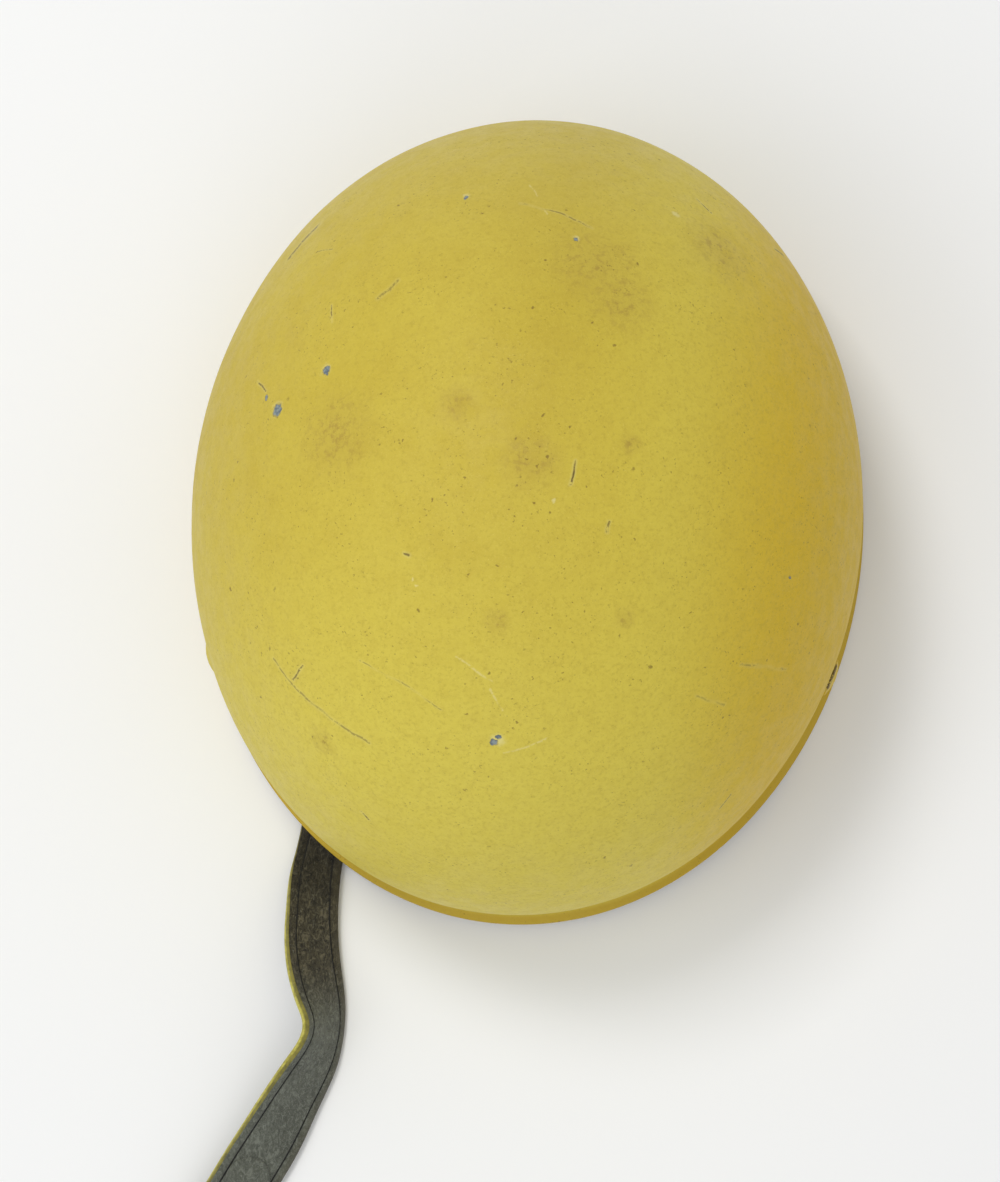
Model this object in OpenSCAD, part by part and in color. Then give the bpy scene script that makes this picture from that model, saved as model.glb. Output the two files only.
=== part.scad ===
// Steel helmet for airborne troops, lying on its rim with one chin strap pulled out.
// X runs to the wearer's left, -Y to the brow, +Z to the crown.
// The origin is the middle of the oval rim, on the surface that the helmet stands on.

/* [Shell] */
// Half of the shell's width, measured outside on the wall
shell_half_w = 104; // [101:1:108]
// Half of the shell's length, measured outside on the wall
shell_half_l = 123.5; // [120:0.5:128]
// Height at which the upright wall turns into the dome
wall_z = 44; // [43:1:52]
// Height of the crown
crown_z = 160; // [155:1:175]
// Thickness of the sheet steel
sheet_t = 1.4; // [1:0.1:1.8]

/* [Rim] */
// Height of the crease between wall and rim
rim_z = 9; // [8:0.5:12]
// How far the rim stands out past the wall at the sides
rim_out = 3.8; // [3.4:0.1:5]
// Height of the rim's upright edge
rim_edge_h = 4.5; // [3.5:0.5:6]
// Width of the edge that is turned in under the rim
hem_w = 3.2; // [2.5:0.1:3.6]
// Height of the arch under the brow
brow_h = 4.8; // [4.6:0.1:6]
// Half of the arch's span along the helmet
brow_half_span = 50; // [46:1:54]
// Distance from the wall's front end back to the arch's top
brow_back = 11.5; // [9:0.5:14]

/* [Bolts] */
// Angle of the two front bolts from the side axis, as the oval's own parameter
front_bolt_a = 22; // [20:1:25]
// Angle of the two rear bolts from the side axis
rear_bolt_a = 44.4; // [42:0.2:48]
// How far all four holes are turned round the shell together
bolt_turn = 2.4; // [-3:0.2:3]
// Height of the bolts
bolt_z = 38; // [37:0.5:39]
// Diameter of a bolt's head
head_d = 12; // [10:0.5:14]
// Height of a bolt's head
head_h = 2; // [1.5:0.1:3]
// Diameter of a bolt's shank
shank_d = 5; // [4:0.5:5]
// Width of the driver slot
slot_w = 1.6; // [1:0.1:2]
// Depth of the driver slot
slot_depth = 1.1; // [0.8:0.1:1.3]
// Width of a nut across its flats
nut_flats = 10; // [8:0.5:11]
// Height of a nut
nut_h = 3; // [2.5:0.5:4]
// Thickness of a washer
washer_t = 0.8; // [0.5:0.1:1.2]

/* [Liner] */
// Room between the shell and the liner band
band_gap = 8; // [8:0.1:9]
// Thickness of the liner band
band_t = 1.2; // [0.8:0.1:1.6]
// Height of the liner band's lower edge
band_z = 25; // [25:0.5:26]
// Height of the liner band
band_h = 26; // [24:1:28]
// Thickness of the liner's leather
leather_t = 1.8; // [1.4:0.1:2]
// Half of the leather crown's width
liner_half_w = 82; // [80:1:84]
// Height of the leather crown's top
liner_top_z = 132; // [130:1:136]
// Number of leather tongues
tongues = 8; // [6:1:8]
// Width of the cut between two tongues
tongue_cut_w = 6; // [5.8:0.2:8]
// Radius of the ring in which the tongues end
tongue_end_r = 22; // [20:1:24]
// Radius at which the lace runs
lace_r = 30; // [30:1:33]
// Diameter of the lace
lace_d = 2.4; // [1.8:0.2:2.4]
// Diameter of the round holes in the tongues
vent_d = 6; // [4:0.5:8]
// Number of rivets round the band
rivet_count = 12; // [6:6:12]

/* [Straps] */
// Thickness of a strap, two layers of leather
strap_t = 2.8; // [2.4:0.1:3]
// Width of the chin strap where it lies free
chin_strap_w = 21.5; // [20:0.5:22]
// Width of the harness straps
harness_w = 15.5; // [14:0.5:16]
// Diameter of the round stud patch
patch_d = 15; // [12:0.5:16]
// Thickness of the stud patch
patch_t = 0.9; // [0.6:0.1:1.4]
// Pitch of the holes in the chin strap
hole_pitch = 9; // [8:0.5:10]
// Number of holes in the chin strap
hole_count = 4; // [2:1:4]

/* [Buckle] */
// Diameter of the buckle's wire
wire_d = 2.4; // [2:0.1:2.6]
// Width inside the buckle frame
buckle_w = 22.5; // [22.5:0.5:24]
// Distance between the buckle's two bars
buckle_l = 17; // [15:0.5:20]
// Outer diameter of the roller
roller_d = 4; // [3.8:0.1:4.4]
// Width of the prong's eye
prong_w = 3.4; // [3:0.2:4]
// Length of the chape's two legs
chape_l = 22; // [20:1:23]

/* [Hidden] */
$fn = 64;
oval_fn = 72;
paint = [0.77, 0.69, 0.28];
strap_grey = [0.33, 0.34, 0.30];
liner_brown = [0.45, 0.30, 0.17];
bare_metal = [0.70, 0.71, 0.72];
pad_rubber = [0.20, 0.20, 0.20];
brass = [0.71, 0.60, 0.32];

// Gaps: under a seated piece, round a shaft, round something soft; and how far a cutter goes past a face
seat = 0.2;
fit = 0.05;
soft_gap = 0.3;
bite = 1;

dome_h = crown_z - wall_z;
inner_half_w = shell_half_w - sheet_t;
inner_half_l = shell_half_l - sheet_t;
band_half_w = inner_half_w - band_gap;
band_half_l = inner_half_l - band_gap;
band_inset = sheet_t + band_gap;
band_inner = band_inset + band_t;
hem_h = sheet_t;

bolt_angles = [
    180 + front_bolt_a + bolt_turn,
    -front_bolt_a + bolt_turn,
    180 - rear_bolt_a + bolt_turn,
    rear_bolt_a + bolt_turn
];
chin_bolt = bolt_angles[0];
buckle_bolt = bolt_angles[1];
rear_right_bolt = bolt_angles[2];
rear_left_bolt = bolt_angles[3];
slot_turns = [8, -5, 14, -9];
head_edge = 0.5;
washer_d = nut_flats * 1.3;
shank_l = band_inner + seat + washer_t + nut_h + bite;

// Insets from the shell's outside of the straps, eyelets and spacers on the bolts
strap_room = 0.35;
strap_inset = sheet_t + strap_room + strap_t / 2;
strap_back = sheet_t + strap_room + strap_t;
eyelet_t = 0.6;
eyelet_d = shank_d + 3;
eyelet_flange_d = eyelet_d + 3.5;
eyelet_back = strap_back + soft_gap + eyelet_t;
spacer_front = eyelet_back + fit;
spacer_back = band_inset - fit;

// The leather is folded round the band's lower edge
fold_z = band_z - soft_gap - leather_t;
flap_top_z = band_z + 6;
lean_z = band_z + 7;
liner_z = liner_top_z - liner_half_w;
flap_r = band_half_w + soft_gap;
lining_r = band_half_w - band_t - soft_gap;
liner_ratio = band_half_l / band_half_w;
window_d = washer_d + 4;
window_depth = 18;

rivet_z = band_z + 3.5;
rivet_d = 2.4;
rivet_head_d = 6;
rivet_turn = 3;
rivet_angles = [for (i = [0 : rivet_count - 1]) rivet_turn + i * 360 / rivet_count];
pad_z = flap_top_z + 1;
pad_top_z = band_z + band_h - 1;

// The lace weaves over and under the tongues
lace_hole_d = lace_d * 3.8;
lace_wave = leather_t / 2 + lace_d / 2 + 2 * soft_gap;
lace_rings = 96;
lace_sides = 6;
tongue_cut_reach = 68;
vent_ring_r = [44, 60];
vent_spread = 9;

strap_edge = 0.5;
strap_steps = 3;
chin_steps = 2;
tip_w = 7;
shoulder_w = 13;
stud_shank_d = 3;
stud_d = 11;
stud_h = 1.8;
punch_d = 3.6;
joint_z = 15;
joint_turn = 10.5;
joint_inset = 4.4;
joint_step = 3.6;
joint_room = 0.5;
joint_head_h = 0.8;

// The buckle lies on the surface and points to the wearer's right
chape_t = strap_t / 2;
eye_r = wire_d / 2 + soft_gap;
buckle_x = -12;
buckle_y = 35 - shell_half_l;
bar_z = eye_r + chape_t + seat;
buckle_lie = asin((bar_z - roller_d / 2 - fit) / buckle_l);
frame_corner_r = 3;
frame_half_w = (buckle_w + wire_d) / 2;
roller_w = 2 * (frame_half_w - frame_corner_r - soft_gap);
prong_r = 1;
prong_lift = 1.3;
prong_wall = 0.9;
prong_rise = atan((roller_d / 2 + prong_r + 2 * fit - prong_lift) / buckle_l);
chape_slot_l = 10;
strap_end_gap = chape_slot_l + 1;
keeper_w = 6;
keeper_t = 1.2;
keeper_start = chape_l + 3;

// A point on the shell's oval, moved in from the outside of the wall
function wall_point(a, inset) = [(shell_half_w - inset) * cos(a), (shell_half_l - inset) * sin(a)];

// The direction in which the wall faces at a point of the oval
function wall_facing(a) = atan2(sin(a) / shell_half_l, cos(a) / shell_half_w);

// An upright oval column, or with out a cone that widens downwards
module oval_column(half_w, half_l, z, h, out = 0) {
    translate([0, 0, z]) scale([1, half_l / half_w, 1])
        cylinder(r1 = half_w + out, r2 = half_w, h = h, $fn = oval_fn);
}

// The upper half of an ellipsoid
module oval_dome(half_w, half_l, z, h) {
    translate([0, 0, z]) difference() {
        scale([half_w, half_l, h]) sphere(r = 1, $fn = oval_fn);
        translate([-2 * half_w, -2 * half_l, -2 * h]) cube([4 * half_w, 4 * half_l, 2 * h]);
    }
}

module oval_hoop(half_w, half_l, t, z, h) {
    difference() {
        oval_column(half_w, half_l, z, h);
        oval_column(half_w - t, half_l - t, z - bite, h + 2 * bite);
    }
}

// Stands on the outside of the wall, with local Z pointing out
module at_wall(a, z) {
    p = wall_point(a, 0);
    translate([p.x, p.y, z]) rotate([0, 0, wall_facing(a)]) rotate([0, 90, 0]) children();
}

module at_bolt(a) {
    at_wall(a, bolt_z) children();
}

module at_bolts() {
    for (a = bolt_angles) at_bolt(a) children();
}

module at_rivets() {
    for (a = rivet_angles) at_wall(a, rivet_z) children();
}

// A tube along local Z, from one height to another
module tube(d, bore_d, from_z, to_z) {
    translate([0, 0, from_z]) difference() {
        cylinder(d = d, h = to_z - from_z);
        translate([0, 0, -bite]) cylinder(d = bore_d, h = to_z - from_z + 2 * bite);
    }
}

module shell_outside() {
    oval_dome(shell_half_w, shell_half_l, wall_z, dome_h);
    oval_column(shell_half_w, shell_half_l, rim_z, wall_z - rim_z);
    oval_column(shell_half_w, shell_half_l, rim_edge_h, rim_z - rim_edge_h, rim_out);
    rim_column(-bite, rim_edge_h + bite, 0);
}

// A column under the rim, drawn in from the rim's edge
module rim_column(z, h, inwards) {
    ratio = shell_half_l / shell_half_w;
    r = shell_half_w + rim_out - inwards;
    oval_column(r, r * ratio, z, h);
}

// The hollow follows the outside one sheet thickness in, down to the turned edge
module shell_hollow() {
    ratio = inner_half_l / inner_half_w;
    flare_r = inner_half_w + rim_out;
    flare_drop = sheet_t * 0.4;
    oval_dome(inner_half_w, inner_half_l, wall_z, dome_h - sheet_t);
    oval_column(inner_half_w, inner_half_l, rim_z - flare_drop, wall_z - rim_z + flare_drop);
    oval_column(inner_half_w, inner_half_l, rim_edge_h - flare_drop, rim_z - rim_edge_h, rim_out);
    oval_column(flare_r, flare_r * ratio, hem_h, rim_edge_h - flare_drop - hem_h);
    rim_column(-bite, hem_h + 1.5 * bite, hem_w);
}

module brow_arch() {
    brow_r = (brow_half_span * brow_half_span + brow_h * brow_h) / (2 * brow_h);
    translate([0, brow_back - shell_half_l, brow_h - brow_r]) rotate([0, 90, 0])
        cylinder(r = brow_r, h = 3 * shell_half_w, center = true, $fn = 720);
}

module steel_shell() {
    color(paint) difference() {
        shell_outside();
        shell_hollow();
        brow_arch();
        translate([-2 * shell_half_w, -2 * shell_half_l, -2 * bite])
            cube([4 * shell_half_w, 4 * shell_half_l, 2 * bite]);
        at_bolts() translate([0, 0, -sheet_t - 2 * bite]) cylinder(d = shank_d + 6 * fit, h = sheet_t + 4 * bite);
    }
}

// Domed heads with a driver slot outside, the shanks reaching in through the liner band
module shell_bolts() {
    cap_h = head_h - head_edge;
    head_r = (head_d * head_d / 4 + cap_h * cap_h) / (2 * cap_h);
    color(paint) for (i = [0 : len(bolt_angles) - 1]) at_bolt(bolt_angles[i]) {
        difference() {
            intersection() {
                translate([0, 0, fit + head_h - head_r]) sphere(r = head_r);
                translate([0, 0, fit]) cylinder(d = head_d, h = head_h + bite);
            }
            rotate([0, 0, slot_turns[i]]) translate([-slot_w / 2, -head_d, fit + head_h - slot_depth])
                cube([slot_w, 2 * head_d, slot_depth + bite]);
        }
        translate([0, 0, -shank_l]) cylinder(d = shank_d, h = shank_l + 4 * fit);
    }
}

module bolt_spacers() {
    color(bare_metal) at_bolts() tube(2 * shank_d, shank_d + 2 * fit, -spacer_back, -spacer_front);
}

module bolt_washers() {
    back = band_inner + seat + washer_t;
    color(bare_metal) at_bolts() tube(washer_d, shank_d + 2 * fit, -back, -back + washer_t);
}

module bolt_nuts() {
    back = band_inner + seat + washer_t + nut_h;
    color(bare_metal) at_bolts() translate([0, 0, -back]) difference() {
        cylinder(d = nut_flats / cos(30), h = nut_h, $fn = 6);
        translate([0, 0, -bite]) cylinder(d = shank_d + 2 * fit, h = nut_h + 2 * bite);
    }
}

module rivet_holes(from_inset, to_inset) {
    at_rivets() translate([0, 0, -to_inset]) cylinder(d = rivet_d + 2 * fit, h = to_inset - from_inset);
}

// The band is four quarters joined end to end
module liner_band() {
    reach = 2 * band_half_l;
    color(bare_metal) difference() {
        for (q = [0 : 3]) intersection() {
            oval_hoop(band_half_w, band_half_l, band_t, band_z, band_h);
            rotate(90 * q) translate([0, 0, band_z - bite]) cube([reach, reach, band_h + 2 * bite]);
        }
        at_bolts() translate([0, 0, -band_inner - bite]) cylinder(d = shank_d + 2 * fit, h = band_t + 2 * bite);
        rivet_holes(band_inset - bite, band_inner + bite);
    }
}

// A rubber pad in the room between shell and band, from one angle to another
module band_pad(from_a, to_a) {
    reach = 2 * shell_half_l;
    mid_a = (from_a + to_a) / 2;
    outer = sheet_t + soft_gap;
    inner = band_inset - soft_gap;
    h = pad_top_z - pad_z;
    color(pad_rubber) intersection() {
        oval_hoop(shell_half_w - outer, shell_half_l - outer, inner - outer, pad_z, h);
        translate([0, 0, pad_z - bite]) linear_extrude(h + 2 * bite) polygon([
            [0, 0],
            reach * [cos(from_a), sin(from_a)],
            reach * [cos(mid_a), sin(mid_a)],
            reach * [cos(to_a), sin(to_a)]
        ]);
    }
}

module band_pad_front() {
    band_pad(chin_bolt + 28, 360 + buckle_bolt - 28);
}

module band_pad_rear() {
    band_pad(rear_left_bolt + 15, rear_right_bolt - 15);
}

module band_pad_left() {
    band_pad(buckle_bolt + 11, rear_left_bolt - 25);
}

module band_pad_right() {
    band_pad(rear_right_bolt + 25, chin_bolt - 11);
}

// Half section of the leather: crown, leaning side, upright lining, and the flap folded up outside the band
module liner_half() {
    difference() {
        intersection() {
            translate([0, liner_z]) circle(r = liner_half_w, $fn = oval_fn);
            translate([0, liner_z]) square([liner_half_w + bite, liner_half_w + bite]);
        }
        translate([0, liner_z]) circle(r = liner_half_w - leather_t, $fn = oval_fn);
    }
    polygon([
        [liner_half_w, liner_z], [liner_half_w - leather_t, liner_z],
        [lining_r - leather_t, lean_z], [lining_r - leather_t, fold_z],
        [flap_r + leather_t, fold_z], [flap_r + leather_t, flap_top_z],
        [flap_r, flap_top_z], [flap_r, fold_z + leather_t],
        [lining_r, fold_z + leather_t], [lining_r, lean_z]
    ]);
}

// Seen from above: the cut between two tongues
module tongue_cut() {
    polygon([
        [0, -tongue_cut_w], [tongue_cut_reach, -tongue_cut_w / 2],
        [tongue_cut_reach, tongue_cut_w / 2], [0, tongue_cut_w]
    ]);
    translate([tongue_cut_reach, 0]) circle(d = tongue_cut_w);
}

// Seen from above: the crown's opening, the cuts, and each tongue's lace hole and vents
module tongue_openings() {
    step = 360 / tongues;
    circle(r = tongue_end_r);
    for (i = [0 : tongues - 1]) {
        rotate((i + 0.5) * step) tongue_cut();
        rotate(i * step) {
            translate([lace_r, 0]) circle(d = lace_hole_d);
            translate([vent_ring_r[0], 0]) circle(d = vent_d);
            for (side = [-1, 1]) translate([vent_ring_r[1], side * vent_spread]) circle(d = vent_d);
        }
    }
}

module leather_liner() {
    color(liner_brown) difference() {
        for (q = [0 : 3]) scale([1, liner_ratio, 1]) rotate(90 * q)
            rotate_extrude(angle = 90, $fn = oval_fn) liner_half();
        translate([0, 0, liner_z + 6]) linear_extrude(liner_top_z) tongue_openings();
        at_bolts() translate([0, 0, -band_inner - window_depth]) cylinder(d = window_d, h = window_depth);
        rivet_holes(band_inset - leather_t - 2 * bite, band_inner + leather_t + 2 * bite);
    }
}

module liner_rivets() {
    lining_back = band_inner + leather_t * liner_ratio + 3 * soft_gap;
    flap_front = band_inset - leather_t * liner_ratio - 2 * soft_gap;
    foot_h = 0.5;
    head_h = 0.9;
    color(brass) at_rivets() {
        translate([0, 0, -lining_back]) cylinder(d = rivet_d, h = lining_back - flap_front);
        translate([0, 0, -flap_front]) cylinder(d = rivet_head_d - 1, h = foot_h);
        translate([0, 0, -lining_back - head_h]) cylinder(d1 = rivet_head_d - 2, d2 = rivet_head_d, h = head_h);
    }
}

function unit(v) = v / norm(v);

// Height of the leather crown's middle layer
function crown_mid_z(x, y) =
    let (r = liner_half_w - leather_t / 2)
    liner_z + sqrt(r * r - x * x - y * y / (liner_ratio * liner_ratio));

function lace_point(a) =
    let (x = lace_r * cos(a), y = lace_r * sin(a))
    [x, y, crown_mid_z(x, y) + lace_wave * sin(tongues * a)];

module crown_lace() {
    step = 360 / lace_rings;
    turn = 360 / lace_sides;
    rings = [
        for (i = [0 : lace_rings - 1])
            let (
                along = unit(lace_point((i + 1) * step) - lace_point((i - 1) * step)),
                out = unit(cross(along, [0, 0, 1])),
                up = cross(out, along)
            )
            [for (k = [0 : lace_sides - 1]) lace_point(i * step) + lace_d / 2 * (cos(k * turn) * out + sin(k * turn) * up)]
    ];
    color(liner_brown) closed_tube(rings, lace_sides);
}

// A tube whose last ring joins its first one
module closed_tube(rings, sides) {
    n = len(rings);
    polyhedron(
        points = [for (r = rings) each r],
        faces = [
            for (i = [0 : n - 1], k = [0 : sides - 1])
                let (j = (i + 1) % n, m = (k + 1) % sides)
                each [
                    [i * sides + k, i * sides + m, j * sides + m],
                    [i * sides + k, j * sides + m, j * sides + k]
                ]
        ]
    );
}

// A strap's route is a list of [x, y, z, tilt, width] at its middle. The tilt turns the strap's
// width out of the level: the edge on the right of the way it runs goes up.
function by_wall(a, inset, z, tilt, w) =
    let (p = wall_point(a, inset))
    [p.x, p.y, z, tilt, w];

// Height at which a strap's lower edge lies on the surface
function resting_z(tilt, w) = w / 2 * abs(sin(tilt)) + strap_t / 2 * cos(tilt) + fit;

// A place on the surface, told by how far it lies past the front end of the wall
function past_brow(x, out, tilt, w) = [x, -shell_half_l - out, resting_z(tilt, w), tilt, w];

function between(a, b, c, d, u) =
    0.5 * (2 * b + (c - a) * u + (2 * a - 5 * b + 4 * c - d) * u * u + (3 * b - a - 3 * c + d) * u * u * u);

// No strap goes below the surface
function lay(p) = [p[0], p[1], max(p[2], resting_z(p[3], p[4])), p[3], p[4]];

function smooth_route(route, steps) =
    let (last = len(route) - 1)
    [
        for (i = [0 : last - 1], k = [0 : steps - 1])
            lay(between(route[max(i - 1, 0)], route[i], route[i + 1], route[min(i + 2, last)], k / steps)),
        lay(route[last])
    ];

function place(p) = [p[0], p[1], p[2]];

// The strap's own directions at a point: along it, across its width and out of its upper face
function strap_axes(path, i) =
    let (
        along = unit(place(path[min(i + 1, len(path) - 1)]) - place(path[max(i - 1, 0)])),
        side = unit(cross(along, [0, 0, 1])),
        up = cross(side, along),
        width = cos(path[i][3]) * side + sin(path[i][3]) * up
    )
    [along, width, cross(width, along)];

function strap_ring(path, i) =
    let (
        axes = strap_axes(path, i),
        w = path[i][4] / 2,
        t = strap_t / 2,
        e = strap_edge
    )
    [
        for (q = [[w, e - t], [w, t - e], [w - e, t], [e - w, t], [-w, t - e], [-w, e - t], [e - w, -t], [w - e, -t]])
            place(path[i]) + q.x * axes[1] + q.y * axes[2]
    ];

module strap(path) {
    n = len(path);
    polyhedron(
        points = [for (i = [0 : n - 1]) each strap_ring(path, i)],
        faces = [
            [for (k = [0 : 7]) 7 - k],
            [for (k = [0 : 7]) (n - 1) * 8 + k],
            for (i = [0 : n - 2], k = [0 : 7])
                let (m = (k + 1) % 8)
                each [
                    [i * 8 + k, i * 8 + m, (i + 1) * 8 + m],
                    [i * 8 + k, (i + 1) * 8 + m, (i + 1) * 8 + k]
                ]
        ]
    );
}

// Stands in the middle of a strap, with local Z out of its upper face
module on_strap(path, i) {
    axes = strap_axes(path, i);
    c = place(path[i]);
    y = cross(axes[2], axes[1]);
    multmatrix([
        [axes[1].x, y.x, axes[2].x, c.x],
        [axes[1].y, y.y, axes[2].y, c.y],
        [axes[1].z, y.z, axes[2].z, c.z],
        [0, 0, 0, 1]
    ]) children();
}

// The upper end of a harness strap, in the room between shell and band. turn is 1 on the
// wearer's right and -1 on the left, where the oval's angle runs the other way.
function from_bolt(a, turn) = [
    by_wall(a - 3.8 * turn, strap_inset, bolt_z + 4, 90 * turn, tip_w),
    by_wall(a - 2.6 * turn, strap_inset, bolt_z + 2.5, 90 * turn, shoulder_w),
    by_wall(a, strap_inset, bolt_z, 90 * turn, harness_w),
    by_wall(a + 5 * turn, strap_inset + 0.2, bolt_z - 7, 90 * turn, harness_w)
];

// The stretch of a front strap that a rear strap is riveted to: level with the wall, and on its edge
function past_joint(a, turn) = [
    by_wall(a + 8 * turn, joint_inset - 0.3, joint_z + 8.2, 90 * turn, harness_w),
    by_wall(a + joint_turn * turn, joint_inset, joint_z + 2.7, 90 * turn, harness_w),
    by_wall(a + (joint_turn + 2.5) * turn, joint_inset + 0.1, joint_z - 1.8, 90 * turn, harness_w)
];

// From its bolt down to the surface, forward under the brow, on edge through a bend, then flat
chin_route = concat(from_bolt(chin_bolt, 1), past_joint(chin_bolt, 1), [
    by_wall(chin_bolt + 17, 7.2, 8.2, 74, harness_w),
    by_wall(chin_bolt + 21, 8.8, 7.2, 52, harness_w),
    by_wall(chin_bolt + 24.9, 10.5, 5.1, 28, harness_w),
    past_brow(-58.9, -32, 9, harness_w),
    past_brow(-57.9, -26, 3, harness_w),
    past_brow(-58.2, -19.5, 3, harness_w),
    past_brow(-59.2, -12.5, 3, harness_w),
    past_brow(-60, -4.5, 16, harness_w + 1),
    past_brow(-59.8, 4.5, 28, harness_w + 2),
    past_brow(-59.2, 13.5, 35, harness_w + 3.5),
    past_brow(-57.6, 22.5, 41, harness_w + 4.5),
    past_brow(-54.9, 31.5, 51, chin_strap_w - 0.5),
    past_brow(-52.4, 39.5, 62, chin_strap_w),
    past_brow(-52.9, 46.5, 60, chin_strap_w),
    past_brow(-55.6, 54.5, 50, chin_strap_w),
    past_brow(-61.2, 66.5, 40, chin_strap_w),
    past_brow(-66.8, 79, 28, chin_strap_w),
    past_brow(-71.3, 87.9, 24, chin_strap_w),
    past_brow(-75.8, 96.9, 24, chin_strap_w),
    past_brow(-80.3, 105.8, 22, chin_strap_w),
    past_brow(-84.8, 114.7, 14, chin_strap_w),
    past_brow(-89.3, 123.6, 6, chin_strap_w),
    past_brow(-93.8, 132.5, 1, chin_strap_w),
    past_brow(-98.3, 141.5, 0, chin_strap_w),
    past_brow(-102.3, 149.5, 0, chin_strap_w - 1.5),
    past_brow(-104.6, 154, 0, chin_strap_w - 7.5),
    past_brow(-105.8, 156.3, 0, chin_strap_w - 14.5)
]);
chin_path = smooth_route(chin_route, chin_steps);

// Where the stud sits on the chin strap, and where its punched holes start and end
stud_at = 49;
holes_from = 56;
holes_to = 60;

// From a rear bolt forward along the wall to the front strap on the same side
function rear_route(bolt, front, turn) = concat(from_bolt(bolt, turn), [
    by_wall(bolt + 11 * turn, strap_inset + 1.2, 22.5, 88 * turn, harness_w),
    by_wall(bolt + 18 * turn, strap_inset + 2, 14.5, 88 * turn, harness_w),
    by_wall(bolt + 26 * turn, 9.5, 10, 88 * turn, harness_w),
    by_wall(bolt + 34 * turn, 12, 9, 88 * turn, harness_w),
    by_wall(bolt + 46 * turn, 13, 9, 88 * turn, harness_w),
    by_wall(front - 4 * turn, 12, 9, 88 * turn, harness_w),
    by_wall(front + 3 * turn, 9.7, 10.6, 90 * turn, harness_w),
    by_wall(front + 7.5 * turn, joint_inset + joint_step, joint_z - 2.4, 90 * turn, harness_w),
    by_wall(front + joint_turn * turn, joint_inset + joint_step, joint_z - 1.4, 90 * turn, harness_w),
    by_wall(front + (joint_turn + 1.2) * turn, joint_inset + joint_step, joint_z - 1, 90 * turn, harness_w),
    by_wall(front + (joint_turn + 2.2) * turn, joint_inset + joint_step, joint_z - 0.7, 90 * turn, shoulder_w)
]);

front_left_route = concat(from_bolt(buckle_bolt, -1), past_joint(buckle_bolt, -1), [
    by_wall(buckle_bolt - 17, 6.8, 9.8, -76, harness_w),
    by_wall(buckle_bolt - 21.5, 9, 8, -58, harness_w),
    by_wall(buckle_bolt - 26.8, 13.8, 6.4, -38, harness_w),
    [buckle_x + 71, buckle_y + 2.8, 4.4, -18, harness_w],
    [buckle_x + 63.5, buckle_y + 0.4, 3.4, -5, harness_w],
    [buckle_x + 56, buckle_y, bar_z, 0, harness_w],
    [buckle_x + 46, buckle_y, bar_z, 0, harness_w],
    [buckle_x + 36, buckle_y, bar_z, 0, harness_w],
    [buckle_x + 24, buckle_y, bar_z, 0, harness_w],
    [buckle_x + strap_end_gap, buckle_y, bar_z, 0, harness_w]
]);

// Round the nape from one rear strap to the other
function nape_point(a, inset, w) = by_wall(a, inset, 9, -88, w);
nape_route = [
    nape_point(rear_right_bolt + 40.5, 15.9, tip_w),
    nape_point(rear_right_bolt + 39, 15.8, shoulder_w),
    nape_point(rear_right_bolt + 36, 15.6, harness_w),
    nape_point(rear_right_bolt + 26, 15.2, harness_w),
    nape_point(rear_right_bolt + 12, 14.6, harness_w),
    nape_point(131, 14.2, harness_w),
    nape_point(112, 14, harness_w),
    nape_point(92, 14, harness_w),
    nape_point(72, 14, harness_w),
    nape_point(53, 14.2, harness_w),
    nape_point(rear_left_bolt - 12, 14.6, harness_w),
    nape_point(rear_left_bolt - 26, 15.2, harness_w),
    nape_point(rear_left_bolt - 36, 15.6, harness_w),
    nape_point(rear_left_bolt - 39, 15.8, shoulder_w),
    nape_point(rear_left_bolt - 40.5, 15.9, tip_w)
];

// Rivets where two straps meet: the oval's angle, the height, and the insets of the outer and the inner strap
harness_joints = [
    [chin_bolt + joint_turn, joint_z, joint_inset, joint_inset + joint_step],
    [buckle_bolt - joint_turn, joint_z, joint_inset, joint_inset + joint_step],
    [rear_right_bolt + 36, 10, 12.2, 15.7],
    [rear_left_bolt - 36, 10, 12.2, 15.7]
];

// Takes the bores for the eyelets and the joint rivets out of a strap
module bored() {
    difference() {
        children();
        at_bolts() translate([0, 0, -strap_back - bite])
            cylinder(d = eyelet_d + 4 * fit, h = strap_t + 2 * bite);
        for (j = harness_joints) at_wall(j[0], j[1])
            translate([0, 0, -j[3] - strap_t]) cylinder(d = rivet_d + 6 * fit, h = j[3] - j[2] + 2 * strap_t);
    }
}

module strap_eyelets() {
    color(brass) at_bolts() {
        tube(eyelet_flange_d, shank_d + 2 * fit, -eyelet_back, -eyelet_back + eyelet_t);
        tube(eyelet_d, shank_d + 2 * fit, -eyelet_back + eyelet_t / 2, -sheet_t - seat);
    }
}

module chin_strap() {
    start = place(chin_path[holes_from]);
    way = unit(place(chin_path[holes_to]) - start);
    color(strap_grey) difference() {
        bored() strap(chin_path);
        on_strap(chin_path, stud_at) cylinder(d = stud_shank_d + 4 * fit, h = 3 * strap_t, center = true);
        for (i = [0 : hole_count - 1]) translate(start + i * hole_pitch * way)
            cylinder(d = punch_d, h = 4 * strap_t, center = true);
    }
}

module stud_patch() {
    color(strap_grey) on_strap(chin_path, stud_at) translate([0, 0, strap_t / 2 + soft_gap])
        cylinder(d = patch_d, h = patch_t);
}

// The socket under the strap and the shank up to the patch
module press_stud() {
    under = strap_t / 2 + seat;
    color(brass) on_strap(chin_path, stud_at) {
        translate([0, 0, -under - stud_h]) cylinder(d = stud_d, h = stud_h);
        translate([0, 0, -under - stud_h / 2]) cylinder(d = stud_shank_d, h = stud_h / 2 + under + strap_t / 2);
    }
}

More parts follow.
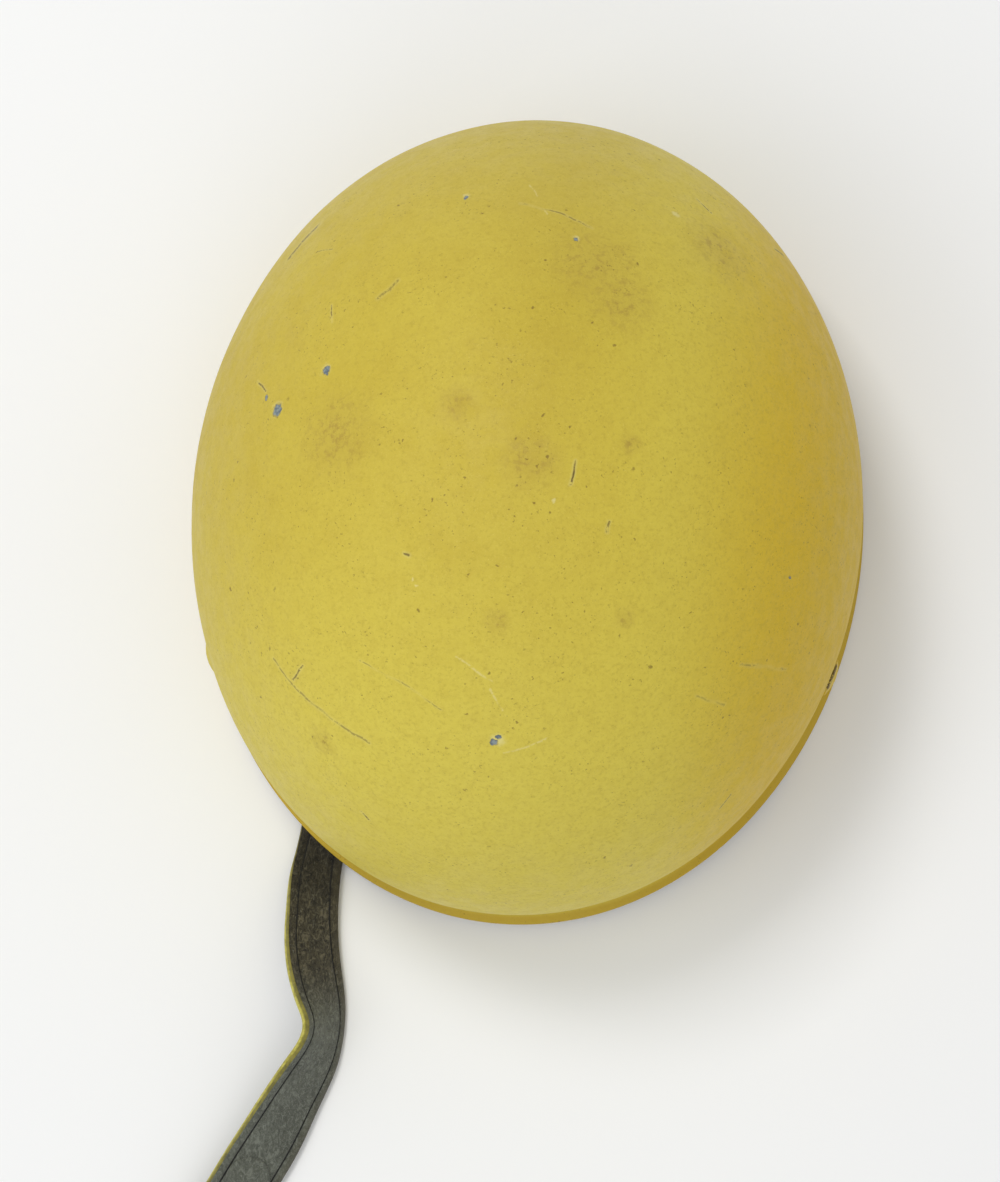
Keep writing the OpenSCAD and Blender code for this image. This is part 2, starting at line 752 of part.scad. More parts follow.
module rear_strap_right() {
    color(strap_grey) bored() strap(smooth_route(rear_route(rear_right_bolt, chin_bolt, 1), strap_steps));
}

module rear_strap_left() {
    color(strap_grey) bored() strap(smooth_route(rear_route(rear_left_bolt, buckle_bolt, -1), strap_steps));
}

module front_strap_left() {
    color(strap_grey) bored() strap(smooth_route(front_left_route, strap_steps));
}

module nape_strap() {
    color(strap_grey) bored() strap(smooth_route(nape_route, strap_steps));
}

module harness_rivets() {
    color(brass) for (j = harness_joints) at_wall(j[0], j[1]) {
        front = j[2] - strap_t / 2 - joint_room;
        back = j[3] + strap_t / 2 + joint_room;
        translate([0, 0, -back]) cylinder(d = rivet_d, h = back - front);
        translate([0, 0, -front]) cylinder(d = rivet_head_d, h = joint_head_h);
        translate([0, 0, -back - joint_head_h]) cylinder(d = rivet_head_d, h = joint_head_h);
    }
}

// Stands on the middle of the buckle's near bar, with local X to the far bar and local Z up
module at_buckle() {
    translate([buckle_x, buckle_y, bar_z]) rotate([0, 0, 180]) children();
}

// The buckle lies tipped, so that its roller rests on the surface
module tipped_buckle() {
    at_buckle() rotate([0, buckle_lie, 0]) children();
}

// A round bar across the buckle
module across(r, l) {
    rotate([90, 0, 0]) cylinder(r = r, h = l, center = true);
}

// A leather loop round the near bar, open on the strap's side and slotted for the prong
module buckle_chape() {
    outer_r = eye_r + chape_t;
    slot_across = prong_w + 4 * soft_gap;
    color(strap_grey) at_buckle() difference() {
        rotate([90, 0, 0]) linear_extrude(harness_w, center = true) difference() {
            union() {
                circle(r = outer_r);
                translate([-chape_l, -outer_r]) square([chape_l, 2 * outer_r]);
            }
            circle(r = eye_r);
            translate([-chape_l - bite, -strap_t / 2 - 2 * fit]) square([chape_l + bite, strap_t + 4 * fit]);
        }
        translate([-chape_slot_l, -slot_across / 2, -2 * outer_r])
            cube([chape_slot_l + 2 * outer_r, slot_across, 4 * outer_r]);
    }
}

module buckle_frame() {
    r = frame_corner_r;
    straight_w = frame_half_w - r;
    color(bare_metal) tipped_buckle() {
        for (x = [0, buckle_l]) translate([x, 0, 0]) across(wire_d / 2, 2 * straight_w);
        for (side = [-1, 1]) translate([r, side * frame_half_w, 0]) rotate([0, 90, 0])
            cylinder(d = wire_d, h = buckle_l - 2 * r);
        for (c = [[buckle_l - r, straight_w, 0], [r, straight_w, 90], [r, -straight_w, 180], [buckle_l - r, -straight_w, 270]])
            translate([c.x, c.y, 0]) rotate([0, 0, c.z]) rotate_extrude(angle = 90) translate([r, 0]) circle(d = wire_d);
    }
}

module buckle_prong() {
    color(bare_metal) tipped_buckle() difference() {
        union() {
            across(wire_d / 2 + fit + prong_wall, prong_w);
            translate([0, 0, prong_lift]) rotate([0, 90 - prong_rise, 0]) {
                cylinder(r = prong_r, h = buckle_l + 3);
                translate([0, 0, buckle_l + 3]) sphere(r = prong_r);
            }
        }
        across(wire_d / 2 + fit, 3 * prong_w);
    }
}

module buckle_roller() {
    color(bare_metal) tipped_buckle() translate([buckle_l, 0, 0]) difference() {
        across(roller_d / 2, roller_w);
        across(wire_d / 2 + fit, 2 * roller_w);
    }
}

module strap_keeper() {
    inner_w = harness_w + 3 * soft_gap;
    inner_h = strap_t + 2 * soft_gap;
    color(strap_grey) at_buckle() translate([-keeper_start - keeper_w / 2, 0, 0]) difference() {
        cube([keeper_w, inner_w + 2 * keeper_t, inner_h + 2 * keeper_t], center = true);
        cube([keeper_w + 2 * bite, inner_w, inner_h], center = true);
    }
}

steel_shell();
shell_bolts();
bolt_spacers();
bolt_washers();
bolt_nuts();
liner_band();
band_pad_front();
band_pad_rear();
band_pad_left();
band_pad_right();
leather_liner();
liner_rivets();
crown_lace();
strap_eyelets();
chin_strap();
stud_patch();
press_stud();
rear_strap_right();
rear_strap_left();
front_strap_left();
nape_strap();
harness_rivets();
buckle_chape();
buckle_frame();
buckle_prong();
buckle_roller();
strap_keeper();
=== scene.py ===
# Steel helmet for airborne troops, lying on its rim with one chin strap pulled out.
# Sizes are in millimetres and turned into metres where a mesh is made.
import math

import bmesh
import bpy
import numpy as np
from mathutils import Matrix, Vector, noise


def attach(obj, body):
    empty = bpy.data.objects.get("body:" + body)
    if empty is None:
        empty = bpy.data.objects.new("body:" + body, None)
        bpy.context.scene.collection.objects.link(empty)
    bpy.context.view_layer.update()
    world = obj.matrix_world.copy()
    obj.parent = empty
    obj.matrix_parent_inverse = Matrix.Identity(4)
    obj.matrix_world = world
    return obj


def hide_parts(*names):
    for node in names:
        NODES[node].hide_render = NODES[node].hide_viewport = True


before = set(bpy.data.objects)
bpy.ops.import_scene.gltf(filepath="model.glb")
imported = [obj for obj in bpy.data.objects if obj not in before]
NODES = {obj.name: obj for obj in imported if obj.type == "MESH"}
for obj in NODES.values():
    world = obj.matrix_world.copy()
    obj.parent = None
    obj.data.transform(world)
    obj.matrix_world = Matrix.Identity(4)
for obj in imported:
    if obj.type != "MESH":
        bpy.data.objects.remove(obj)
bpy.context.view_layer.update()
MM = 0.001

# The part's own sizes
SHELL_W, SHELL_L, WALL_Z, CROWN_Z, SHEET = 104, 123.5, 44, 160, 1.4
RIM_Z, RIM_OUT, RIM_EDGE, HEM_W = 9, 3.8, 4.5, 3.2
BROW_H, BROW_SPAN, BROW_BACK = 4.8, 50, 11.5
BOLTS = (204.4, -19.6, 138.0, 46.8)
BOLT_Z = 38
BAND_INSET, BAND_T = 9.4, 1.2
LINER_W, LINER_RATIO, LINER_Z, LEATHER = 82, 114.1 / 94.6, 50, 1.8
TONGUES, TONGUE_END, LACE_RING, LACE_R, LACE_HOLE_R, VENT_R, WINDOW_R = 8, 71, 30, 1.2, 4.2, 3, 8.5
STRAP_T, CHIN_W, HARNESS_W = 2.8, 21.5, 15.5
HOLES, HOLE_PITCH, HOLE_R = 4, 9, 1.8
FLOOR_GAP, FLOOR_HALF = 0.0002, 4
BUCKLE = Vector((-12, -88.5, 3.1))


# The photograph's size and focal length in pixels, and the pixel that shows the target
PICTURE_W, PICTURE_H, FOCAL_PX, SENSOR = 1000, 1182, 3253.2, 36
TARGET, TARGET_PX, DISTANCE = Vector((0, 0, 60)), (526, 514), 1000
ELEVATION, AZIMUTH, ROLL = 84.96, 19.74, -15.06


def in_scene(name, data):
    obj = bpy.data.objects.new(name, data)
    bpy.context.scene.collection.objects.link(obj)
    return obj


def through_pixel(px, py):
    """The direction of a pixel in the camera's own axes."""
    return Vector(((px - PICTURE_W / 2) / FOCAL_PX, (PICTURE_H / 2 - py) / FOCAL_PX, -1))


def place_camera():
    """Puts the camera above the brow, and returns where it stands and how it is turned."""
    elevation, azimuth, roll = (math.radians(v) for v in (ELEVATION, AZIMUTH, ROLL))
    back = Vector((
        math.sin(azimuth) * math.cos(elevation),
        -math.cos(azimuth) * math.cos(elevation),
        math.sin(elevation),
    ))
    right = Vector((math.cos(azimuth), math.sin(azimuth), 0))
    up = back.cross(right)
    across = math.cos(roll) * right + math.sin(roll) * up
    upright = -math.sin(roll) * right + math.cos(roll) * up
    turn = Matrix((across, upright, back)).transposed()
    aim = through_pixel(*TARGET_PX).normalized()
    turn = (turn @ aim).rotation_difference(-back).to_matrix() @ turn
    data = bpy.data.cameras.new("camera")
    data.lens = FOCAL_PX * SENSOR / PICTURE_H
    data.clip_start = 0.05
    camera = in_scene("camera", data)
    camera.matrix_world = Matrix.Translation((TARGET + back * DISTANCE) * MM) @ turn.to_4x4()
    bpy.context.scene.camera = camera
    return TARGET + back * DISTANCE, turn


CAMERA_AT, CAMERA_TURN = place_camera()


def on_dome(px, py):
    """The point of the dome, in millimetres, that the photograph shows at a pixel."""
    way = CAMERA_TURN @ through_pixel(px, py)
    size = Vector((SHELL_W, SHELL_L, CROWN_Z - WALL_Z))
    o = Vector([(a - b) / s for a, b, s in zip(CAMERA_AT, (0, 0, WALL_Z), size)])
    d = Vector([a / s for a, s in zip(way, size)])
    half_b = o.dot(d)
    root = max(half_b * half_b - d.dot(d) * (o.dot(o) - 1), 0)
    return CAMERA_AT + way * ((-half_b - math.sqrt(root)) / d.dot(d))


def bolt_axis(angle):
    """Where a bolt meets the shell, and its direction out of the shell."""
    t = math.radians(angle)
    out = Vector((math.cos(t) / SHELL_W, math.sin(t) / SHELL_L, 0)).normalized()
    return Vector((SHELL_W * math.cos(t), SHELL_L * math.sin(t), BOLT_Z)), out


def on_bolt(angle, across, up):
    """A point on a bolt's head, in millimetres from its middle."""
    middle, out = bolt_axis(angle)
    return middle + 0.8 * out + across * Vector((-out.y, out.x, 0)) + Vector((0, 0, up))


def on_level(px, py, z):
    """The point at a height z, in millimetres, that the photograph shows at a pixel."""
    way = CAMERA_TURN @ through_pixel(px, py)
    return CAMERA_AT + way * ((z - CAMERA_AT.z) / way.z)


# The chin strap's creases at its bend
CREASES = [
    (on_level(319, 1008, 12), on_level(331, 1025, 8)),
    (on_level(321, 1029, 12), on_level(330, 1038, 8)),
    (on_level(316, 1018, 14), on_level(320, 1034, 11)),
]


def lamp(name, at, size, power, colour):
    """A square lamp that looks at the helmet."""
    data = bpy.data.lights.new(name, "AREA")
    data.size = size
    data.energy = power
    data.color = colour
    obj = in_scene(name, data)
    obj.location = at
    obj.rotation_euler = (Vector((0, 0, 0.05)) - Vector(at)).to_track_quat("-Z", "Y").to_euler()


lamp("left_lamp", (-1.5, -0.55, 1.75), 1.3, 7, (1, 0.99, 0.97))
lamp("high_lamp", (-0.7, 0.85, 2.1), 0.65, 17, (1, 0.99, 0.97))
lamp("front_lamp", (-0.2, -1.9, 1.6), 1.6, 7, (0.99, 0.99, 1))


def build_world():
    """Soft light from all round. The camera sees a whiter background than the light it gives."""
    world = bpy.data.worlds.new("world")
    world.use_nodes = True
    nodes, links = world.node_tree.nodes, world.node_tree.links
    background = nodes["Background"]
    background.inputs["Color"].default_value = (0.97, 0.98, 1, 1)
    strength = nodes.new("ShaderNodeMapRange")
    strength.inputs["To Min"].default_value = 0.61
    strength.inputs["To Max"].default_value = 0.93
    links.new(nodes.new("ShaderNodeLightPath").outputs["Is Camera Ray"], strength.inputs["Value"])
    links.new(strength.outputs[0], background.inputs["Strength"])
    bpy.context.scene.world = world


build_world()
bpy.context.scene.view_settings.view_transform = "Standard"


class Graph:
    """A material and short ways to add nodes to it."""

    def __init__(self, name):
        self.material = bpy.data.materials.new(name)
        self.material.use_nodes = True
        self.tree = self.material.node_tree
        self.bsdf = self.tree.nodes["Principled BSDF"]
        coords = self.tree.nodes.new("ShaderNodeTexCoord")
        self.place = coords.outputs["Object"]
        self.uv = coords.outputs["UV"]

    def put(self, socket, value):
        if isinstance(value, bpy.types.NodeSocket):
            self.tree.links.new(value, socket)
        elif hasattr(value, "__len__") and len(value) == 3 and socket.type == "RGBA":
            socket.default_value = (*value, 1)
        else:
            socket.default_value = value

    def node(self, kind, inputs, **settings):
        made = self.tree.nodes.new("ShaderNode" + kind)
        for key, value in settings.items():
            setattr(made, key, value)
        for key, value in inputs.items():
            self.put(made.inputs[key], value)
        return made

    def math(self, operation, a, b=0.0, clamp=False):
        return self.node("Math", {0: a, 1: b}, operation=operation, use_clamp=clamp).outputs[0]

    def vector(self, operation, a, b=(0, 0, 0)):
        made = self.node("VectorMath", {0: a, 1: b}, operation=operation)
        return made.outputs["Value" if operation in ("LENGTH", "DOT_PRODUCT", "DISTANCE") else "Vector"]

    def scaled(self, vector, factor):
        return self.node("VectorMath", {0: vector, "Scale": factor}, operation="SCALE").outputs["Vector"]

    def noise(self, scale, detail=3, rough=0.55, at=None, distortion=0):
        at = self.place if at is None else at
        inputs = {"Vector": at, "Scale": scale, "Detail": detail, "Roughness": rough, "Distortion": distortion}
        return self.node("TexNoise", inputs).outputs[0]

    def voronoi(self, scale, output="Distance", feature="F1", at=None):
        at = self.place if at is None else at
        inputs = {"Vector": at, "Scale": scale}
        return self.node("TexVoronoi", inputs, feature=feature).outputs[output]

    def step(self, value, low, high, to_low=0.0, to_high=1.0):
        """A smooth step from one value to another; low may be above high."""
        if low > high:
            low, high, to_low, to_high = high, low, to_high, to_low
        inputs = {"Value": value, "From Min": low, "From Max": high, "To Min": to_low, "To Max": to_high}
        return self.node("MapRange", inputs, interpolation_type="SMOOTHSTEP").outputs[0]

    def mix(self, factor, a, b):
        made = self.node("Mix", {}, data_type="RGBA")
        self.put(made.inputs[0], factor)
        self.put(made.inputs[6], a)
        self.put(made.inputs[7], b)
        return made.outputs[2]

    def between(self, factor, a, b):
        return self.node("MapRange", {"Value": factor, "To Min": a, "To Max": b}).outputs[0]

    def xyz(self, vector):
        return self.node("SeparateXYZ", {0: vector}).outputs

    def largest(self, values, operation="MAXIMUM"):
        found = values[0]
        for value in values[1:]:
            found = self.math(operation, found, value)
        return found

    def nearest(self, distances):
        return self.largest(distances, "MINIMUM")

    def stirred(self, scale, reach):
        """The place on the object, moved about by noise, for ragged and wavering outlines."""
        noises = self.node("TexNoise", {"Vector": self.place, "Scale": scale, "Detail": 3}).outputs[1]
        return self.vector("ADD", self.place, self.scaled(self.vector("SUBTRACT", noises, (0.5, 0.5, 0.5)), reach))

    def near_line(self, at, a, b):
        """Distance from a straight line between two points, in metres."""
        a, b = Vector(a) * MM, Vector(b) * MM
        way = b - a
        start = self.vector("SUBTRACT", at, a)
        share = self.math("DIVIDE", self.vector("DOT_PRODUCT", start, way), way.length_squared, clamp=True)
        return self.vector("DISTANCE", start, self.scaled(way, share))

    def finish(self, colour, rough, heights=(), metal=0.0, **fixed):
        """heights are pairs of a height from 0 to 1 and what 1 stands for, in metres."""
        self.put(self.bsdf.inputs["Base Color"], colour)
        self.put(self.bsdf.inputs["Roughness"], rough)
        self.put(self.bsdf.inputs["Metallic"], metal)
        normal = None
        for height, distance in heights:
            inputs = {"Height": height, "Distance": distance}
            if normal:
                inputs["Normal"] = normal
            normal = self.node("Bump", inputs).outputs[0]
        if normal:
            self.put(self.bsdf.inputs["Normal"], normal)
        for key, value in fixed.items():
            self.bsdf.inputs[key.replace("_", " ")].default_value = value
        return self.material


def srgb(r, g, b):
    return tuple(c / 3294.6 if c <= 10.31 else ((c / 255 + 0.055) / 1.055) ** 2.4 for c in (r, g, b))


# Wear on the paint, by the pixel where the photograph shows it: chips, pale and brown patches as
# (pixel, radius in mm), freckles, and scratches as (pixels along the line, half width in mm, darkness),
# one of which is painted shade in a bolt's slot rather than a scratch
CHIPS = [
    ((326, 371), 1.45), ((277, 410), 2.0), ((266, 398), 0.85), ((495, 742), 1.1), ((499, 737), 0.7),
    ((466, 198), 0.75), ((576, 239), 0.8), ((790, 577), 0.6),
]
PALE = [
    ((417, 586), 0.6), ((413, 581), 0.5), ((554, 501), 0.8), ((676, 214), 1.6), ((498, 740), 2.6),
    ((326, 370), 2.2), ((277, 409), 2.9), ((466, 197), 1.5), ((577, 238), 1.4),
]
BROWN = [
    ((600, 262), 14), ((622, 300), 11), ((530, 460), 8), ((335, 435), 14), ((458, 404), 5), ((497, 622), 4),
    ((625, 619), 3.5), ((630, 443), 3.5), ((322, 741), 4.5), ((720, 250), 12),
]
FRECKLES = [
    (516, 438), (526, 459), (538, 466), (552, 472), (519, 478), (548, 457), (539, 431), (544, 415), (571, 427),
    (533, 503), (549, 513), (514, 517), (586, 487), (497, 566), (469, 574), (523, 612), (432, 501), (465, 479),
    (403, 441), (634, 539), (275, 590), (605, 857), (391, 289), (353, 326), (313, 738), (325, 743), (332, 736),
    (284, 730), (260, 696), (488, 673), (517, 722), (611, 265), (638, 263), (688, 275), (592, 322), (634, 210),
    (545, 260), (510, 308), (532, 307), (814, 642), (810, 652), (706, 667), (734, 661), (750, 763),
]
SCRATCHES_AND_SLOT_SHADE = [
    ([(331, 305), (332, 322)], 0.25, 0.8), ([(257, 382), (266, 390)], 0.3, 0.8),
    ([(697, 199), (711, 213)], 0.3, 0.8),
    ([(274, 659), (284, 675), (309, 702), (340, 726), (369, 743)], 0.35, 0.55),
    ([(303, 666), (293, 680)], 0.3, 0.8), ([(360, 660), (403, 683), (442, 710)], 0.22, 0.45),
    ([(362, 812), (368, 819)], 0.35, 0.8), ([(720, 808), (730, 795)], 0.28, 0.7),
    ([(741, 665), (786, 669)], 0.3, 0.5), ([(697, 697), (725, 704)], 0.3, 0.35),
    ([(520, 204), (560, 213), (592, 228)], 0.3, 0.55), ([(575, 461), (570, 484)], 0.3, 0.9),
    ([(610, 522), (607, 532)], 0.3, 0.7), ([(404, 554), (408, 556)], 0.35, 0.8),
    # The second entry on the next line is painted shade, with some lost paint, in the slot of the rear left bolt's
    # head.
    ([(290, 257), (303, 241), (316, 228)], 1.1, 0.7), ([(774, 249), (783, 256)], 0.4, 0.9),
    ([(378, 298), (390, 288), (397, 280)], 0.45, 0.5), ([(318, 252), (333, 249)], 0.2, 0.5),
]
# The front left bolt's head is dark along its upper edge, partly lost paint and partly painted shade of the gap
# between head and shell: (across, up) from its middle, in mm
BOLT_EDGE_WEAR_AND_SHADE = [(-3.6, 4.6), (-1.8, 5.7), (0, 6), (1.8, 5.7), (3.6, 4.6)]
# Thin pale lines on the paint; the first two runs are a painted highlight.
PALE_LINES = [
    [(456, 657), (475, 669), (491, 681)], [(490, 689), (503, 710)], [(503, 753), (528, 746), (546, 739)],
    [(530, 185), (547, 214)],
]


def shell_paint():
    """Matte mustard paint over steel: mottled, freckled, chipped to blue-grey metal and scratched. Light and
    shade are painted in too: paler towards the front and on the middle of the right side, a painted highlight
    along two pale lines, and painted shade on the rim band and by two bolt heads.
    """
    g = Graph("shell_paint")
    x, y, z = g.xyz(g.place)
    patches = g.noise(14, 3, 0.5)
    clouds = g.noise(60, 4, 0.6)
    grain = g.noise(900, 4, 0.7)
    fine = g.noise(2600, 3, 0.6)
    ragged = g.stirred(650, 0.0026)
    wavering = g.stirred(150, 0.0018)

    def marks(found, outer, inner, height=1.0, at=ragged):
        return g.largest([
            g.step(g.vector("DISTANCE", at, Vector(on_dome(*p)) * MM), outer * r * MM, inner * r * MM, 0, height)
            for p, r in found
        ])

    base = g.mix(g.step(patches, 0.35, 0.65), srgb(196, 174, 58), srgb(201, 181, 66))
    tints_and_painted_light = (
        (clouds, 0.45, 0.75, 0.35, (188, 163, 52)),
        # Painted highlight: the paint grows paler towards the front.
        (y, 0.0, -0.085, 0.9, (212, 196, 78)),
        (y, 0.05, 0.12, 0.5, (197, 178, 84)),
        # Painted light: lighter paint on the middle of the right side.
        (x, 0.0, 0.05, 0.6, (216, 197, 74)),
        (x, 0.04, 0.085, 1, (212, 178, 34)),
        (g.noise(330, 4, 0.65), 0.4, 0.68, 0.17, (176, 150, 50)),
        (grain, 0.48, 0.7, 0.34, (168, 144, 48)),
        (fine, 0.55, 0.75, 0.35, (220, 204, 108)),
        # Painted shade: the rim band below 9 mm is darker and more orange.
        (z, 0.009, 0.0075, 0.8, (186, 154, 40)),
    )
    for value, low, high, share, colour in tints_and_painted_light:
        base = g.mix(g.step(value, low, high, 0, share), base, srgb(*colour))
    blots = g.step(g.noise(430, 4, 0.7), 0.47, 0.66, 0.2, 0.75)
    base = g.mix(g.math("MULTIPLY", marks(BROWN, 1.4, 0.1, 1, wavering), blots), base, srgb(166, 138, 58))
    base = g.mix(marks(PALE, 1.1, 0.3, 0.55), base, srgb(222, 214, 152))

    cells = g.voronoi(120, at=ragged)
    sizes = g.xyz(g.voronoi(120, "Color", at=ragged))[0]
    spread = g.math("MULTIPLY", g.step(cells, 0.09, 0.03), g.step(sizes, 0.5, 0.9))
    crowd = g.step(g.noise(75, 3, 0.6), 0.4, 0.62, 0.1, 0.85)
    specks = g.math("MULTIPLY", g.step(g.noise(1150, 2, 0.5), 0.63, 0.74), crowd)
    placed = marks([(p, 0.5) for p in FRECKLES], 1.2, 0.4)
    base = g.mix(g.math("MULTIPLY", g.largest([spread, specks, placed]), 0.72), base, srgb(118, 92, 38))

    broken = g.step(g.noise(1100, 2, 0.5), 0.34, 0.5)
    lines = []
    for pixels, width, depth in SCRATCHES_AND_SLOT_SHADE:
        away = g.nearest([g.near_line(wavering, on_dome(*a), on_dome(*b)) for a, b in zip(pixels, pixels[1:])])
        lines.append((away, width * MM, depth))
    # Lost paint and painted shade along the front left bolt's upper edge.
    edge = [on_bolt(BOLTS[1], across, up) for across, up in BOLT_EDGE_WEAR_AND_SHADE]
    lines.append((g.nearest([g.near_line(wavering, a, b) for a, b in zip(edge, edge[1:])]), 0.85 * MM, 0.95))
    scratch_and_painted_shade = g.math("MULTIPLY", g.largest([g.step(d, 1.6 * w, 0.4 * w, 0, k) for d, w, k in lines]), broken)
    lifted = g.largest([g.step(d, 3.4 * w, 1.4 * w, 0, 0.3 * k) for d, w, k in lines])
    # The pale lines, the first two of them a painted highlight.
    cracks = [g.near_line(wavering, on_dome(*a), on_dome(*b)) for run in PALE_LINES for a, b in zip(run, run[1:])]
    pale = g.math("MULTIPLY", g.step(g.nearest(cracks), 0.0005, 0.0001, 0, 0.6), broken)
    base = g.mix(g.largest([lifted, pale]), base, srgb(216, 204, 132))
    base = g.mix(scratch_and_painted_shade, base, srgb(92, 74, 38))
    chip = marks(CHIPS, 1.0, 0.84)
    rim = g.math("SUBTRACT", marks(CHIPS, 1.22, 1.0), chip, clamp=True)
    base = g.mix(g.math("MULTIPLY", rim, 0.55), base, srgb(132, 118, 66))
    base = g.mix(chip, base, g.mix(g.step(g.noise(900), 0.4, 0.6), srgb(98, 110, 118), srgb(136, 146, 144)))
    rough = g.between(g.step(g.noise(160, 4, 0.6), 0.3, 0.7), 0.46, 0.62)
    heights = [
        (g.noise(240, 3, 0.5), 0.00007),
        (grain, 0.00009),
        (fine, 0.00004),
        (g.math("SUBTRACT", 1.0, chip), 0.00018),
    ]
    return g.finish(base, rough, heights, Specular_IOR_Level=0.26)


def strap_leather():
    """Grey suede with short pale fibres, darker and browner by the shell, where shade is painted on, with a
    near-black painted shadow right at the rim. UV x runs along the strap in metres, and y across it from -1 to 1,
    then round the cut edge to 1.3 on the lower layer. One edge keeps paint."""
    g = Graph("strap_leather")
    y = g.xyz(g.place)[1]
    v = g.xyz(g.uv)[1]
    clouds = g.noise(70, 4, 0.6)
    streaks = g.noise(560, 5, 0.75, at=g.vector("MULTIPLY", g.place, (1.4, 0.75, 1)), distortion=1.2)
    fibres = g.noise(2100, 4, 0.7, distortion=1.5)
    hairs = g.noise(1300, 2, 0.4, at=g.vector("MULTIPLY", g.stirred(300, 0.004), (2.6, 0.35, 1)))
    # Painted shade: the strap and its streaks darker and browner near the shell.
    shade_by_shell = g.step(y, -0.166, -0.145)
    base = g.mix(g.step(clouds, 0.35, 0.65), srgb(80, 82, 73), srgb(93, 96, 86))
    base = g.mix(g.math("MULTIPLY", shade_by_shell, 0.85), base, srgb(58, 52, 36))
    pale = g.mix(shade_by_shell, srgb(136, 140, 128), srgb(104, 99, 80))
    patchy = g.between(shade_by_shell, 0.5, 1.0)
    base = g.mix(g.math("MULTIPLY", g.step(streaks, 0.5, 0.62), patchy), base, pale)
    base = g.mix(
        g.math("MULTIPLY", g.step(streaks, 0.5, 0.38), patchy), base,
        g.mix(shade_by_shell, srgb(60, 62, 54), srgb(28, 26, 19))
    )
    base = g.mix(g.step(fibres, 0.53, 0.66, 0, 0.6), base, pale)
    base = g.mix(g.step(hairs, 0.68, 0.74, 0, 0.5), base, srgb(150, 152, 138))
    # Painted shadow: near-black where the strap comes out from under the rim.
    base = g.mix(g.step(y, -0.132, -0.118, 0, 0.5), base, srgb(26, 24, 17))
    creases = [g.near_line(g.stirred(150, 0.0018), *ends) for ends in CREASES]
    base = g.mix(g.step(g.nearest(creases), 0.0009, 0.0001, 0, 0.4), base, srgb(146, 144, 122))
    side = g.math("ABSOLUTE", v)
    base = g.mix(g.step(v, -0.7, -0.85, 0, 0.35), base, srgb(78, 72, 52))
    # Painted shade: a dark line in each sunk seam.
    seam = g.math("ABSOLUTE", g.math("SUBTRACT", side, 0.7))
    base = g.mix(g.step(seam, 0.035, 0.015, 0, 0.85), base, srgb(26, 26, 22))
    lower = g.step(side, 1.15, 1.25)
    rind = g.mix(g.step(g.noise(260, 4, 0.7), 0.38, 0.6), srgb(112, 106, 52), srgb(140, 132, 60))
    rind = g.mix(lower, rind, g.mix(g.step(g.noise(420, 4, 0.7), 0.4, 0.6), srgb(170, 162, 68), srgb(202, 194, 96)))
    rind = g.mix(g.step(fibres, 0.56, 0.72, 0, 0.6), rind, srgb(86, 80, 46))
    plain = g.mix(g.step(fibres, 0.4, 0.65), srgb(56, 50, 38), srgb(92, 84, 62))
    painted = g.math("MULTIPLY", g.step(v, 0, 0.1), g.step(y, -0.09, -0.12))
    base = g.mix(g.step(side, 0.985, 1.05), base, g.mix(painted, plain, rind))
    rough = g.between(fibres, 0.8, 0.97)
    heights = [(g.noise(180, 3, 0.6), 0.0003), (streaks, 0.0003), (fibres, 0.0002)]
    return g.finish(base, rough, heights, Sheen_Weight=0.2, Sheen_Roughness=0.5, Specular_IOR_Level=0.25)


def liner_leather(name, dark, light):
    """Smooth brown leather with pores, rubbed and sweat-darkened in patches."""
    g = Graph(name)
    clouds = g.noise(26, 4, 0.6)
    pores = g.voronoi(1100, feature="DISTANCE_TO_EDGE")
    wrinkles = g.noise(190, 5, 0.65, distortion=0.8)
    base = g.mix(g.step(clouds, 0.35, 0.65), dark, light)
    base = g.mix(g.step(g.noise(90, 4, 0.6), 0.55, 0.75, 0, 0.5), base, tuple(0.45 * c for c in dark))
    base = g.mix(g.step(pores, 0.07, 0.0, 0, 0.35), base, tuple(0.4 * c for c in dark))
    base = g.mix(g.step(wrinkles, 0.58, 0.75, 0, 0.35), base, tuple(1.5 * c for c in light))
    rough = g.between(g.step(clouds, 0.3, 0.7), 0.5, 0.72)
    return g.finish(base, rough, [(wrinkles, 0.0005), (g.step(pores, 0.0, 0.09), 0.00009)])


def metal(name, light, dark, rough, streak=(1, 1, 1), tarnish=0.4):
    """Worn metal: fine scratches, dull patches and dark dirt."""
    g = Graph(name)
    dull = g.noise(120, 5, 0.65)
    spots = g.noise(650, 4, 0.7)
    lines = g.noise(1400, 3, 0.7, at=g.vector("MULTIPLY", g.place, streak))
    base = g.mix(g.step(dull, 0.42, 0.68, 0, tarnish), light, dark)
    base = g.mix(g.step(spots, 0.6, 0.75, 0, tarnish), base, tuple(0.5 * c for c in dark))
    base = g.mix(g.step(lines, 0.35, 0.7, 0, 0.25), base, tuple(min(1.3 * c, 1) for c in light))
    roughness = g.between(g.step(dull, 0.35, 0.7), rough, rough + 0.2)
    return g.finish(base, roughness, [(lines, 0.00004), (spots, 0.00006)], metal=1.0)


def pad_rubber():
    """Black rubber gone grey: pores, dust and small cracks."""
    g = Graph("pad_rubber")
    dust = g.noise(60, 5, 0.65)
    pores = g.voronoi(1300)
    base = g.mix(g.step(dust, 0.4, 0.7), srgb(44, 44, 44), srgb(78, 76, 72))
    base = g.mix(g.step(pores, 0.25, 0.1, 0, 0.6), base, srgb(24, 24, 24))
    cracks = g.voronoi(210, feature="DISTANCE_TO_EDGE")
    return g.finish(
        base, g.between(dust, 0.75, 0.95),
        [(g.step(pores, 0.05, 0.3), 0.00025), (g.step(cracks, 0, 0.03), 0.00012)]
    )


